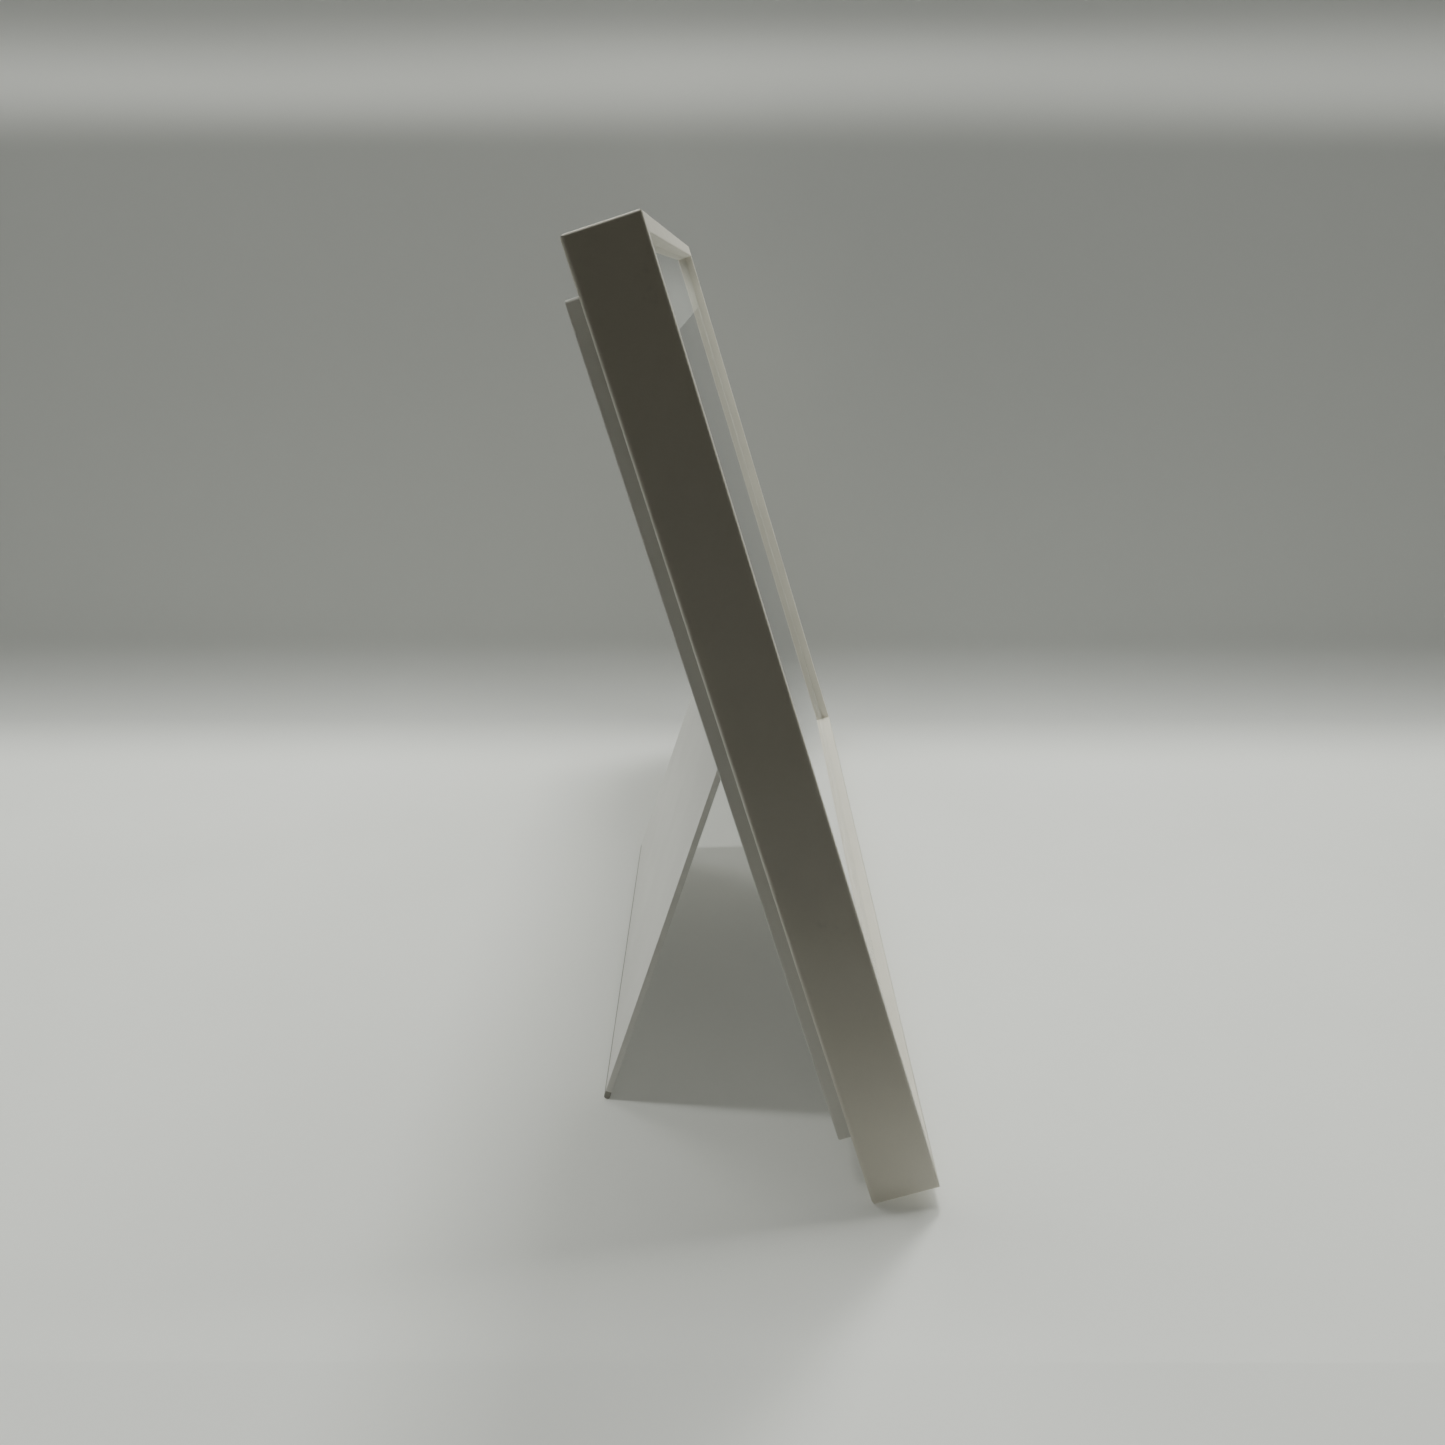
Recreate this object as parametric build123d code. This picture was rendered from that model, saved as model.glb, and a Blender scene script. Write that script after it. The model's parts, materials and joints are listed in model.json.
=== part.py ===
from build123d import *
import os
from math import cos, radians, sin

# A 15.6 inch digital photo frame standing on its back stand.
#
# Every piece is drawn on the upright frame and leaned back as the last step.
# Upright axes: X across the width, Y towards the back (0 at the frame's back edge),
# Z up (0 at the frame's bottom edge). Millimetres.
# Final axes: the same after the lean, origin at the bottom centre of the bounding box.

# Driving dimensions
SCREEN_W = 344.2            # picture area of a 15.6 inch 16:9 screen
SCREEN_H = 193.6
BORDER = 28.4               # frame edge to picture area, the same on all four sides
FRAME_D = 18.3              # depth of the frame's side
BEZEL = 4.8                 # width of the frame's front face
RECESS = 3.3                # glass below the front face
BOX_INSET = 12.6            # rear box in from the frame's edge
BOX_RISE = 4.6              # rear box behind the frame's back edge
LEAN = 17.1                 # degrees back from upright
STAND_OPEN = 35.3           # degrees between the stand and the frame's back
STAND_LEFT = -150.0         # stand's side edges
STAND_RIGHT = 40.0
STAND_T = 1.8               # stand sheet

FRAME_W = SCREEN_W + 2 * BORDER
FRAME_H = SCREEN_H + 2 * BORDER
MID_Z = FRAME_H / 2

# Frame rail section
RAIL_WALL = 1.8
RAIL_WEB = 1.2
RAIL_REACH = 11.3           # how far the key channel reaches in
RAIL_LIP = 1.5
EDGE_R = 0.6
HEEL_R = 1.2                # rounder back edge
CORNER_R = 0.7
MITRE_CUT = 20.0            # size of the wedge cut off a rail's end
MITRE_OVER = 5.0            # how far the cutting wedge runs past the rail
KEY_ARM = 34.0              # how far a corner key reaches along each rail

# Layers behind the front face
GLASS_T = 2.0
MAT_T = 0.8
GASKET_T = 0.4
MODULE_T = 3.6
Y_GLASS = RECESS - FRAME_D
Y_MAT = Y_GLASS + GLASS_T
Y_GASKET = Y_MAT + MAT_T
Y_MODULE = Y_GASKET + GASKET_T
Y_TRAY = Y_MODULE + MODULE_T
TRAY_T = 0.4
CELL_T = 1.1
FILM_T = 0.16
REFLECTOR_T = 0.2
MODULE_W = 351.0
MODULE_H = 205.0
MODULE_RIM = 2.0            # plastic rim round the backlight
LAYER_GAP = 0.2
PLAY = 0.2

# Rear cover
COVER_T = 2.0
FLANGE_DROP = 0.2           # flange below the rails' back edge
Y_FLANGE = -FLANGE_DROP - COVER_T
Y_BACK = BOX_RISE
Y_CEILING = BOX_RISE - COVER_T
BOX_HALF = FRAME_W / 2 - BOX_INSET
BOX_LOW = BOX_INSET
BOX_HIGH = FRAME_H - BOX_INSET
SCREW_IN = 7.2              # cover screws in from the frame's edge
COVER_SCREW_XS = (-150.0, -50.0, 50.0, 150.0)
COVER_SCREW_ZS = (45.0, MID_Z, FRAME_H - 45.0)

# Hinge
HINGE_Y = BOX_RISE + 0.4 + STAND_T / 2
HINGE_Z = 112.4
HINGE_XS = (-115.0, 5.0)
PIN_R = 1.0
PIN_PLAY = 0.05
KNUCKLE_R = 2.2
KNUCKLE_L = 14.0
WASHER_T = 0.5
EAR_T = 1.5
HINGE_BASE_T = 1.2
HINGE_BASE_HALF_Z = 4.5
HINGE_BASE_HALF_X = 18.0
WELL_DEPTH = 2.6
WELL_FLOOR_T = 1.6
Y_WELL = BOX_RISE - WELL_DEPTH
FLOOR_GAP = 0.35            # frame's lower back edge above the table
STRIP_H = 2.4               # rubber strip on the stand's lower edge

# Stand length and stop nib, worked out so that the opened stand meets the table on its stop
HINGE_SCREW_DX = 14.5
HINGE_AXIS_HEIGHT = HINGE_Z * cos(radians(LEAN)) - HINGE_Y * sin(radians(LEAN)) + FLOOR_GAP
STAND_L = (HINGE_AXIS_HEIGHT - STAND_T / 2) / cos(radians(STAND_OPEN - LEAN)) + STAND_T / 2
STOP_REST_Y = Y_WELL + HINGE_BASE_T + 0.05
STOP_L = (HINGE_Y - STOP_REST_Y - STAND_T / 2 * cos(radians(STAND_OPEN))) / sin(radians(STAND_OPEN))

# Rubber feet
FOOT_XS = (-168.0, 168.0)
FOOT_L = 26.0
FOOT_Y = (-6.6, -1.6)
FOOT_SOCKET = 0.9

# Screen's driver board, flex tails and brackets
INNER_W = MODULE_W - 2 * MODULE_RIM - 0.4
INNER_H = MODULE_H - 2 * MODULE_RIM - 0.4
FLEX_XS = (-110.0, -40.0, 30.0)
FLEX_W = 32.0
FLEX_T = 0.15
DRIVER_X = (-135.0, 55.0)
DRIVER_Z = (24.2, 41.0)
DRIVER_T = 0.8
DRIVER_Y = Y_TRAY + 0.3
BRACKET_ZS = (78.0, 172.0)
BRACKET_T = 1.0
BRACKET_SCREW_Y = -4.6

# Main board
BOARD_T = 1.6
BOARD_LIFT = 2.8
Y_BOARD = Y_TRAY + BOARD_LIFT
Y_PARTS = Y_BOARD + BOARD_T
BOARD_X = (64.0, 179.0)
BOARD_Z = (48.4, 124.0)
BOARD_HOLES = [(x, z) for x in (69.0, 174.0) for z in (66.0, 119.0)]

# Socket pocket in the rear cover, open to the back and below
POCKET_X = (70.0, 176.0)
POCKET_Z = (16.0, 46.0)
POCKET_FLOOR = -6.4
POCKET_T = 1.5
POCKET_WALL = 2.0

# Sockets: x of each one's middle
DC_X = 84.0
USB_X = 106.0
CARD_X = 134.0
AUDIO_X = 162.0
SOCKET_MOUTH = POCKET_Z[1] + 0.3
SOCKET_Y = Y_PARTS + 3.1    # middle of the round sockets
DC_SOCKET = (9.0, 6.2, 14.0)
DC_BORE_R = 2.8
DC_PIN_R = 1.0
USB_SOCKET = (13.1, 5.7, 14.5)
USB_SHELL = 0.4
CARD_SOCKET = (27.0, 2.9, 26.0)
CARD_SLOT = (24.6, 2.2)
AUDIO_SOCKET = (7.0, 6.2, 15.5)
AUDIO_BORE_R = 1.8
AUDIO_BORE_L = 14.0

# Keys on the back, in a row
KEY_Z = 222.0
KEY_XS = {"power_button": 120.0, "menu_button": 134.0, "back_button": 148.0, "next_button": 162.0}
KEY_R = 3.0
KEY_PLAY = 0.3
KEY_PROUD = 0.7
KEY_COLLAR_R = 3.9
KEY_COLLAR_T = 0.8
KEY_TRAVEL = 0.5
KEY_BOARD_Y = -3.0
KEY_BOARD_X = (106.0, 172.0)
KEY_BOARD_Z = (214.0, 230.0)
KEY_SCREW_XS = (109.0, 169.0)
KEY_SCREW_Z = 226.0

# Keyholes for hanging
KEYHOLE_XS = (-100.0, 100.0)
KEYHOLE_Z = 196.0
KEYHOLE_HEAD_R = 4.5
KEYHOLE_SLOT_R = 2.2
KEYHOLE_DROP = 9.0
KEYHOLE_PLATE = (22.0, 1.2, 34.0)
KEYHOLE_CUP = (13.0, 5.2, 23.0)

# Speakers
SPEAKER_X = 168.0
SPEAKER_Z = 150.0
SPEAKER = (18.0, 5.0, 42.0)
SPEAKER_FACE_GAP = 0.8
VENT_ZS = (204.0, 215.0)

# Leads in front of the main board and the plugs that they end in
LEAD_Y = Y_TRAY + 1.3
LEAD_PLUG_LEFT = (66.0, 71.0)
LEAD_PLUG_RIGHT = (150.0, 155.0)


def block(x, y, z):
    """A box from its limits along X, Y and Z."""
    size = (x[1] - x[0], y[1] - y[0], z[1] - z[0])
    middle = ((x[0] + x[1]) / 2, (y[0] + y[1]) / 2, (z[0] + z[1]) / 2)
    return Pos(*middle) * Box(*size)


def plate(width, height, y, middle=(0.0, MID_Z)):
    """A flat sheet facing the front, between two depths."""
    x, z = middle
    return block((x - width / 2, x + width / 2), y, (z - height / 2, z + height / 2))


def rod_x(radius, x, y, z):
    """A round bar along X between two x values."""
    return Pos((x[0] + x[1]) / 2, y, z) * Rot(Y=90) * Cylinder(radius, x[1] - x[0])


def rod_y(radius, x, y, z):
    """A round bar along Y between two y values."""
    return Pos(x, (y[0] + y[1]) / 2, z) * Rot(X=90) * Cylinder(radius, y[1] - y[0])


def rod_z(radius, x, y, z):
    """A round bar along Z between two z values."""
    return Pos(x, y, (z[0] + z[1]) / 2) * Cylinder(radius, z[1] - z[0])


def group(shapes):
    """Separate solids kept together under one name."""
    return Compound([solid for shape in shapes for solid in shape.solids()])


def pan_screw(x, y_head, z, head_r, head_t, shank_r, shank_l):
    """A pan head screw with a cross recess, driven from the back towards the front."""
    head = rod_y(head_r, x, (y_head, y_head + head_t), z)
    head = chamfer(head.edges().group_by(Axis.Y)[-1], head_t * 0.3)
    shank = rod_y(shank_r, x, (y_head - shank_l, y_head), z)
    slot_y = (y_head + head_t * 0.45, y_head + head_t + 0.1)
    half = head_r * 0.6
    thin = head_r * 0.14
    cross = block((x - half, x + half), slot_y, (z - thin, z + thin))
    cross += block((x - thin, x + thin), slot_y, (z - half, z + half))
    return head + shank - cross


# Frame rails

def rail_section():
    """The extrusion's outline: inward from the outer face along X, depth along Y."""
    y_shelf = Y_GASKET + LAYER_GAP
    y_web = Y_FLANGE
    outline = Polyline(
        (0, -FRAME_D), (BEZEL, -FRAME_D), (BEZEL, Y_GLASS), (RAIL_WALL, Y_GLASS),
        (RAIL_WALL, y_shelf), (RAIL_REACH, y_shelf), (RAIL_REACH, y_shelf + RAIL_LIP + RAIL_WEB),
        (RAIL_REACH - RAIL_WEB, y_shelf + RAIL_LIP + RAIL_WEB), (RAIL_REACH - RAIL_WEB, y_shelf + RAIL_WEB),
        (RAIL_WALL, y_shelf + RAIL_WEB), (RAIL_WALL, y_web - RAIL_WEB),
        (RAIL_REACH - RAIL_WEB, y_web - RAIL_WEB), (RAIL_REACH - RAIL_WEB, y_web - 3 * RAIL_WEB),
        (RAIL_REACH, y_web - 3 * RAIL_WEB), (RAIL_REACH, y_web), (RAIL_WALL, y_web),
        (RAIL_WALL, 0), (0, 0),
        close=True,
    )
    section = make_face(outline)
    front = section.vertices().sort_by_distance((0, -FRAME_D, 0))[0]
    section = fillet(front, EDGE_R)
    lip = section.vertices().sort_by_distance((BEZEL, -FRAME_D, 0))[0]
    section = fillet(lip, EDGE_R / 2)
    heel = section.vertices().sort_by_distance((0, 0, 0))[0]
    return fillet(heel, HEEL_R)


def outer_prism():
    """The frame's outside with its corners rounded, full depth."""
    sketch = Plane.XZ * RectangleRounded(FRAME_W, FRAME_H, CORNER_R)
    return Pos(0, 1, MID_Z) * extrude(sketch, FRAME_D + 2)


def mitred_rail(length):
    """One rail with both ends cut at 45 degrees, lying along X with its outer face at Z 0."""
    end = Plane(origin=(length / 2, 0, 0), x_dir=(0, 0, 1), z_dir=(-1, 0, 0))
    bar = extrude(end * rail_section(), length)
    for side in (-1, 1):
        past_end = side * (length / 2 + MITRE_OVER)
        wedge = Polyline(
            (past_end, -MITRE_OVER), (side * (length / 2 - MITRE_CUT), MITRE_CUT), (past_end, MITRE_CUT),
            close=True,
        )
        bar -= Pos(0, MITRE_OVER, 0) * extrude(Plane.XZ * make_face(wedge), FRAME_D + 2 * MITRE_OVER)
    return bar


def frame_rail(side):
    """A rail in its place on one side of the frame."""
    turn = {"bottom": 0, "right": -90, "top": 180, "left": 90}[side]
    along = FRAME_W if side in ("bottom", "top") else FRAME_H
    across = FRAME_H if side in ("bottom", "top") else FRAME_W
    rail = Pos(0, 0, MID_Z) * Rot(Y=turn) * Pos(0, 0, -across / 2) * mitred_rail(along)
    rail = rail & outer_prism()
    for x, z in cover_screw_points():
        rail -= rod_y(1.15, x, (Y_FLANGE - 6, Y_FLANGE + 1), z)
    for x, z in bracket_points():
        side_x = 1 if x > 0 else -1
        ends = sorted((side_x * (FRAME_W / 2 - RAIL_REACH - 1), side_x * (FRAME_W / 2 - RAIL_WALL - 1)))
        rail -= rod_x(0.85, ends, BRACKET_SCREW_Y, z)
    if side == "bottom":
        for x in FOOT_XS:
            rail -= block((x - FOOT_L / 2, x + FOOT_L / 2), FOOT_Y, (-1, FOOT_SOCKET))
    return rail


def corner_keys():
    """Four L shaped keys that join the rails inside their channels."""
    y_low = Y_GASKET + LAYER_GAP + RAIL_WEB + PLAY
    y_high = Y_FLANGE - RAIL_WEB - PLAY
    inner = RAIL_WALL + PLAY
    outer = RAIL_REACH - RAIL_WEB - PLAY
    keys = []
    for sx in (-1, 1):
        for sz in (-1, 1):
            def span(a, b, s, half):
                return tuple(sorted((s * (half - a), s * (half - b))))
            arm_x = block(span(inner, KEY_ARM, sx, FRAME_W / 2), (y_low, y_high),
                          tuple(MID_Z + v for v in span(inner, outer, sz, FRAME_H / 2)))
            arm_z = block(span(inner, outer, sx, FRAME_W / 2), (y_low, y_high),
                          tuple(MID_Z + v for v in span(inner, KEY_ARM, sz, FRAME_H / 2)))
            keys.append(arm_x + arm_z)
    return group(keys)


# Rubber feet under the bottom rail

def table_height(y):
    """Height of the table under the upright frame at a depth y."""
    return (y * sin(radians(LEAN)) - FLOOR_GAP) / cos(radians(LEAN))


def foot(x):
    """A wedge foot whose sole lies flat on the table."""
    y0, y1 = FOOT_Y[0] + 0.1, FOOT_Y[1] - 0.1
    side = Polyline(
        (y0, FOOT_SOCKET - 0.05), (y1, FOOT_SOCKET - 0.05), (y1, table_height(y1)), (y0, table_height(y0)),
        close=True,
    )
    start = Plane(origin=(x - FOOT_L / 2 + 0.1, 0, 0), x_dir=(0, 1, 0), z_dir=(1, 0, 0))
    return extrude(start * make_face(side), FOOT_L - 0.2)


# Front stack

def cover_glass():
    """The front pane."""
    inset = 2 * (RAIL_WALL + 0.4)
    pane = plate(FRAME_W - inset, FRAME_H - inset, (Y_GLASS, Y_MAT))
    return chamfer(pane.edges().filter_by(Axis.Y), 1.0)


def mat_board():
    """White card border with a bevelled window for the picture area."""
    inset = 2 * (RAIL_WALL + 0.4)
    board = plate(FRAME_W - inset, FRAME_H - inset, (Y_MAT, Y_GASKET))
    window = plate(SCREEN_W, SCREEN_H, (Y_MAT - 1, Y_GASKET + 1))
    board -= window
    front_edges = board.edges().filter_by(
        lambda e: abs(e.center().Y - Y_MAT) < 0.01
        and abs(e.center().X) <= SCREEN_W / 2 + 0.01
        and abs(e.center().Z - MID_Z) <= SCREEN_H / 2 + 0.01
    )
    return chamfer(front_edges, MAT_T * 0.7)


def screen_gasket():
    """Foam ring between the mat and the screen."""
    ring = plate(MODULE_W, MODULE_H, (Y_GASKET, Y_MODULE))
    return ring - plate(SCREEN_W + 2, SCREEN_H + 2, (Y_GASKET - 1, Y_MODULE + 1))


def screen_rim():
    """Moulded rim that holds the cell and the backlight, with slots for the flex tails."""
    rim = plate(MODULE_W, MODULE_H, (Y_MODULE, Y_TRAY - TRAY_T))
    rim -= plate(MODULE_W - 2 * MODULE_RIM, MODULE_H - 2 * MODULE_RIM, (Y_MODULE - 1, Y_TRAY + 1))
    for x in FLEX_XS:
        rim -= block((x - FLEX_W / 2 - 0.5, x + FLEX_W / 2 + 0.5), (Y_MODULE - 1, Y_MODULE + CELL_T),
                     (MID_Z - MODULE_H / 2 - 1, MID_Z - MODULE_H / 2 + MODULE_RIM + 1))
    return rim


def lcd_cell():
    """Liquid crystal cell: two bonded sheets of glass."""
    return plate(INNER_W, INNER_H, (Y_MODULE, Y_MODULE + CELL_T))


def light_films():
    """Two brightness films and a diffuser."""
    start = Y_MODULE + CELL_T
    step = FILM_T + 0.01
    return group(plate(INNER_W - 1, INNER_H - 6, (start + i * step + 0.01, start + i * step + 0.01 + FILM_T),
                       (0, MID_Z + 2)) for i in range(3))


def light_guide():
    """Clear plate that spreads the light from its lower edge."""
    y = (Y_MODULE + CELL_T + 3 * (FILM_T + 0.01) + 0.02, Y_TRAY - TRAY_T - REFLECTOR_T)
    return plate(INNER_W - 1, INNER_H - 6, y, (0, MID_Z + 2))


def reflector_sheet():
    """White sheet behind the light guide."""
    return plate(INNER_W - 1, INNER_H - 6, (Y_TRAY - TRAY_T - REFLECTOR_T, Y_TRAY - TRAY_T), (0, MID_Z + 2))


def led_strip():
    """Narrow strip along the lower edge with a row of light sources."""
    z0 = MID_Z - INNER_H / 2
    y = (Y_MODULE + CELL_T + 0.15, Y_TRAY - TRAY_T - 0.1)
    strip = block((-165, 165), y, (z0 + 0.2, z0 + 0.8))
    for i in range(30):
        x = -159.5 + i * 11
        strip += block((x - 1.8, x + 1.8), (y[0] + 0.2, y[1] - 0.2), (z0 + 0.8, z0 + 1.9))
    return strip


def screen_tray():
    """Steel sheet that closes the back of the screen."""
    tray = plate(MODULE_W, MODULE_H, (Y_TRAY - TRAY_T, Y_TRAY))
    for z in (70.0, 150.0, 210.0):
        tray -= block((-140, -60), (Y_TRAY - 0.12, Y_TRAY + 1), (z - 3, z + 3))
    return tray


def driver_board():
    """Long board that drives the screen, behind its lower edge."""
    board = block(DRIVER_X, (DRIVER_Y, DRIVER_Y + DRIVER_T), DRIVER_Z)
    top = DRIVER_Y + DRIVER_T
    for x in (-100.0, -20.0):
        board += block((x - 5, x + 5), (top, top + 0.9), (29, 36))
    for i in range(10):
        x = -85 + i * 6
        board += block((x - 0.8, x + 0.8), (top, top + 0.5), (31, 34))
    board += block((24, 46), (top, top + 1.0), (36.5, 40.5))
    return board


def screen_flexes():
    """Three flex tails from the cell round the lower edge to the driver board."""
    tails = []
    y_front = Y_MODULE + 0.4
    y_back = DRIVER_Y - FLEX_T
    z_cell = MID_Z - INNER_H / 2 - 0.05
    z_turn = MID_Z - MODULE_H / 2 - 0.9
    radius = (y_back - y_front) / 2
    for x in FLEX_XS:
        run = FilletPolyline((x, y_front, z_cell), (x, y_front, z_turn), (x, y_back + 0.02, z_turn),
                             (x, y_back + 0.02, DRIVER_Z[0] + 3), radius=min(radius, 1.0) * 0.9)
        face = Plane(origin=run @ 0, z_dir=run % 0, x_dir=(1, 0, 0)) * Rectangle(FLEX_W, FLEX_T)
        tails.append(sweep(face, path=run))
    return group(tails)


# Screen brackets

def bracket_points():
    """X side and height of each screen bracket."""
    return [(side, z) for side in (-1.0, 1.0) for z in BRACKET_ZS]


def screen_brackets():
    """Four bent brackets that tie the screen to the side rails."""
    out = []
    wall = FRAME_W / 2 - RAIL_REACH
    for side, z in bracket_points():
        flat = tuple(sorted((side * (MODULE_W / 2 - 10), side * wall)))
        up = tuple(sorted((side * (wall - BRACKET_T), side * wall)))
        shape = block(flat, (Y_TRAY, Y_TRAY + BRACKET_T), (z - 8, z + 8))
        shape += block(up, (Y_TRAY, Y_FLANGE - PLAY), (z - 8, z + 8))
        shape -= rod_x(0.95, tuple(sorted((side * (wall - 3), side * (wall + 3)))), BRACKET_SCREW_Y, z)
        out.append(shape)
    return group(out)


def bracket_screws():
    """One small screw through each bracket into its rail."""
    out = []
    wall = FRAME_W / 2 - RAIL_REACH - BRACKET_T
    for side, z in bracket_points():
        shank = rod_x(0.8, tuple(sorted((side * wall, side * (wall + 4)))), BRACKET_SCREW_Y, z)
        head = rod_x(1.6, tuple(sorted((side * (wall - 1.0), side * wall))), BRACKET_SCREW_Y, z)
        out.append(shank + head)
    return group(out)


# Boards and what is on them

def main_board():
    """The main circuit board with its small soldered parts."""
    board = block(BOARD_X, (Y_BOARD, Y_PARTS), BOARD_Z)
    for x, z in BOARD_HOLES:
        board -= rod_y(1.15, x, (Y_BOARD - 1, Y_PARTS + 1), z)
    for i in range(7):
        x = 80 + i * 5
        board += block((x - 0.8, x + 0.8), (Y_PARTS, Y_PARTS + 0.6), (74, 77))
        board += block((x + 38, x + 40), (Y_PARTS, Y_PARTS + 0.5), (112, 113.2))
    board += block((66.0, 72.0), (Y_BOARD - 1.9, Y_BOARD), (72, 92))
    for plug in (LEAD_PLUG_LEFT, LEAD_PLUG_RIGHT):
        board += block(plug, (Y_BOARD - 2.2, Y_BOARD), (104, 111))
    return board


def processor():
    """The main chip."""
    return block((104, 119), (Y_PARTS, Y_PARTS + 1.4), (84, 99))


def thermal_pad():
    """Soft pad between the main chip and its heat sink."""
    return block((105, 118), (Y_PARTS + 1.4, Y_PARTS + 1.9), (85, 98))


def heat_sink():
    """Low finned plate on the main chip."""
    y = Y_PARTS + 1.9
    sink = block((98, 125), (y, y + 1.0), (79, 104))
    for i in range(9):
        x = 98.8 + i * 3.1
        sink += block((x, x + 0.8), (y + 1.0, y + 3.2), (79, 104))
    return sink


def memory_chips():
    """Working memory and storage chips."""
    y = (Y_PARTS, Y_PARTS + 1.0)
    return group([block((130, 139), y, (84, 97)), block((143, 152), y, (84, 97)), block((80, 92), y, (84, 98))])


def power_parts():
    """Coils and capacitors of the supply."""
    parts = [block((x - 3, x + 3), (Y_PARTS, Y_PARTS + 2.8), (66, 72)) for x in (80.0, 90.0, 152.0)]
    parts += [rod_y(2.0, x, (Y_PARTS, Y_PARTS + 4.8), 108.0) for x in (84.0, 90.0, 96.0)]
    return group(parts)


def wireless_module():
    """Small radio board under a steel lid."""
    module = block((156, 172), (Y_PARTS, Y_PARTS + 0.8), (88, 104))
    return module + block((157, 171), (Y_PARTS + 0.8, Y_PARTS + 2.2), (89, 101))


def wireless_antenna():
    """Film antenna stuck inside the top of the rear cover."""
    film = block((-30, 30), (Y_CEILING - 0.25, Y_CEILING), (226, 234))
    return film - block((-26, 20), (Y_CEILING - 1, Y_CEILING + 1), (229, 230))


def board_standoffs():
    """Hexagonal pillars between the screen's tray and the main board."""
    out = []
    for x, z in BOARD_HOLES:
        sketch = Plane.XZ * RegularPolygon(2.4, 6)
        pillar = Pos(x, Y_BOARD, z) * extrude(sketch, BOARD_LIFT)
        out.append(pillar - rod_y(0.95, x, (Y_TRAY - 0.1, Y_BOARD + 1), z))
    return group(out)


def board_screws():
    """Screws that hold the main board to its pillars."""
    return group(pan_screw(x, Y_PARTS, z, 1.9, 1.3, 0.9, BOARD_T + BOARD_LIFT - 0.3) for x, z in BOARD_HOLES)


# Sockets on the lower edge of the main board

def socket_body(x, size):
    """A socket's outer block standing on the board, mouth down."""
    width, height, depth = size
    return block((x - width / 2, x + width / 2), (Y_PARTS, Y_PARTS + height),
                 (SOCKET_MOUTH, SOCKET_MOUTH + depth))


def dc_socket():
    """Round power inlet with its centre pin."""
    body = socket_body(DC_X, DC_SOCKET)
    body -= rod_z(DC_BORE_R, DC_X, SOCKET_Y, (SOCKET_MOUTH - 1, SOCKET_MOUTH + 9.5))
    return body + rod_z(DC_PIN_R, DC_X, SOCKET_Y, (SOCKET_MOUTH + 1, SOCKET_MOUTH + 10))


def usb_socket():
    """Rectangular memory stick socket with its tongue."""
    width, height, depth = USB_SOCKET
    body = socket_body(USB_X, USB_SOCKET)
    body -= block((USB_X - width / 2 + USB_SHELL, USB_X + width / 2 - USB_SHELL),
                  (Y_PARTS + USB_SHELL, Y_PARTS + height - USB_SHELL),
                  (SOCKET_MOUTH - 1, SOCKET_MOUTH + depth - 1.5))
    tongue = block((USB_X - 5.6, USB_X + 5.6), (Y_PARTS + height / 2 + 0.5, Y_PARTS + height / 2 + 2.2),
                   (SOCKET_MOUTH + 1.2, SOCKET_MOUTH + depth - 1))
    return body + tongue


def card_socket():
    """Memory card slot."""
    width, height = CARD_SLOT
    depth = CARD_SOCKET[2]
    body = socket_body(CARD_X, CARD_SOCKET)
    return body - block((CARD_X - width / 2, CARD_X + width / 2),
                        (Y_PARTS + 0.35, Y_PARTS + 0.35 + height), (SOCKET_MOUTH - 1, SOCKET_MOUTH + depth - 2))


def audio_socket():
    """Headphone socket."""
    body = socket_body(AUDIO_X, AUDIO_SOCKET)
    return body - rod_z(AUDIO_BORE_R, AUDIO_X, SOCKET_Y, (SOCKET_MOUTH - 1, SOCKET_MOUTH + AUDIO_BORE_L))


# Keys

def key_board():
    """Narrow board behind the keys."""
    y = (KEY_BOARD_Y, KEY_BOARD_Y + BOARD_T)
    board = block(KEY_BOARD_X, y, KEY_BOARD_Z)
    board += block((122, 134), (KEY_BOARD_Y - 1.0, KEY_BOARD_Y), (214.5, 218))
    for x in KEY_SCREW_XS:
        board -= rod_y(1.1, x, (y[0] - 1, y[1] + 1), KEY_SCREW_Z)
    return board


def key_switches():
    """Push switches, one under each key."""
    top = KEY_BOARD_Y + BOARD_T
    out = []
    for x in KEY_XS.values():
        body = block((x - 2.6, x + 2.6), (top, top + 1.4), (KEY_Z - 2.6, KEY_Z + 2.6))
        out.append(body + rod_y(1.4, x, (top + 1.4, top + 2.1), KEY_Z))
    return group(out)


def key_ribbon():
    """Flat ribbon from the key board down to the main board."""
    return block((124, 132), (Y_PARTS + 0.05, Y_PARTS + 0.35), (119.0, 214.5))


def key_screws():
    """Screws that hold the key board to the rear cover."""
    out = []
    for x in KEY_SCREW_XS:
        shank = rod_y(0.9, x, (KEY_BOARD_Y, Y_CEILING - 0.3), KEY_SCREW_Z)
        head = rod_y(1.8, x, (KEY_BOARD_Y - 1.2, KEY_BOARD_Y), KEY_SCREW_Z)
        out.append(shank + head)
    return group(out)


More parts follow.
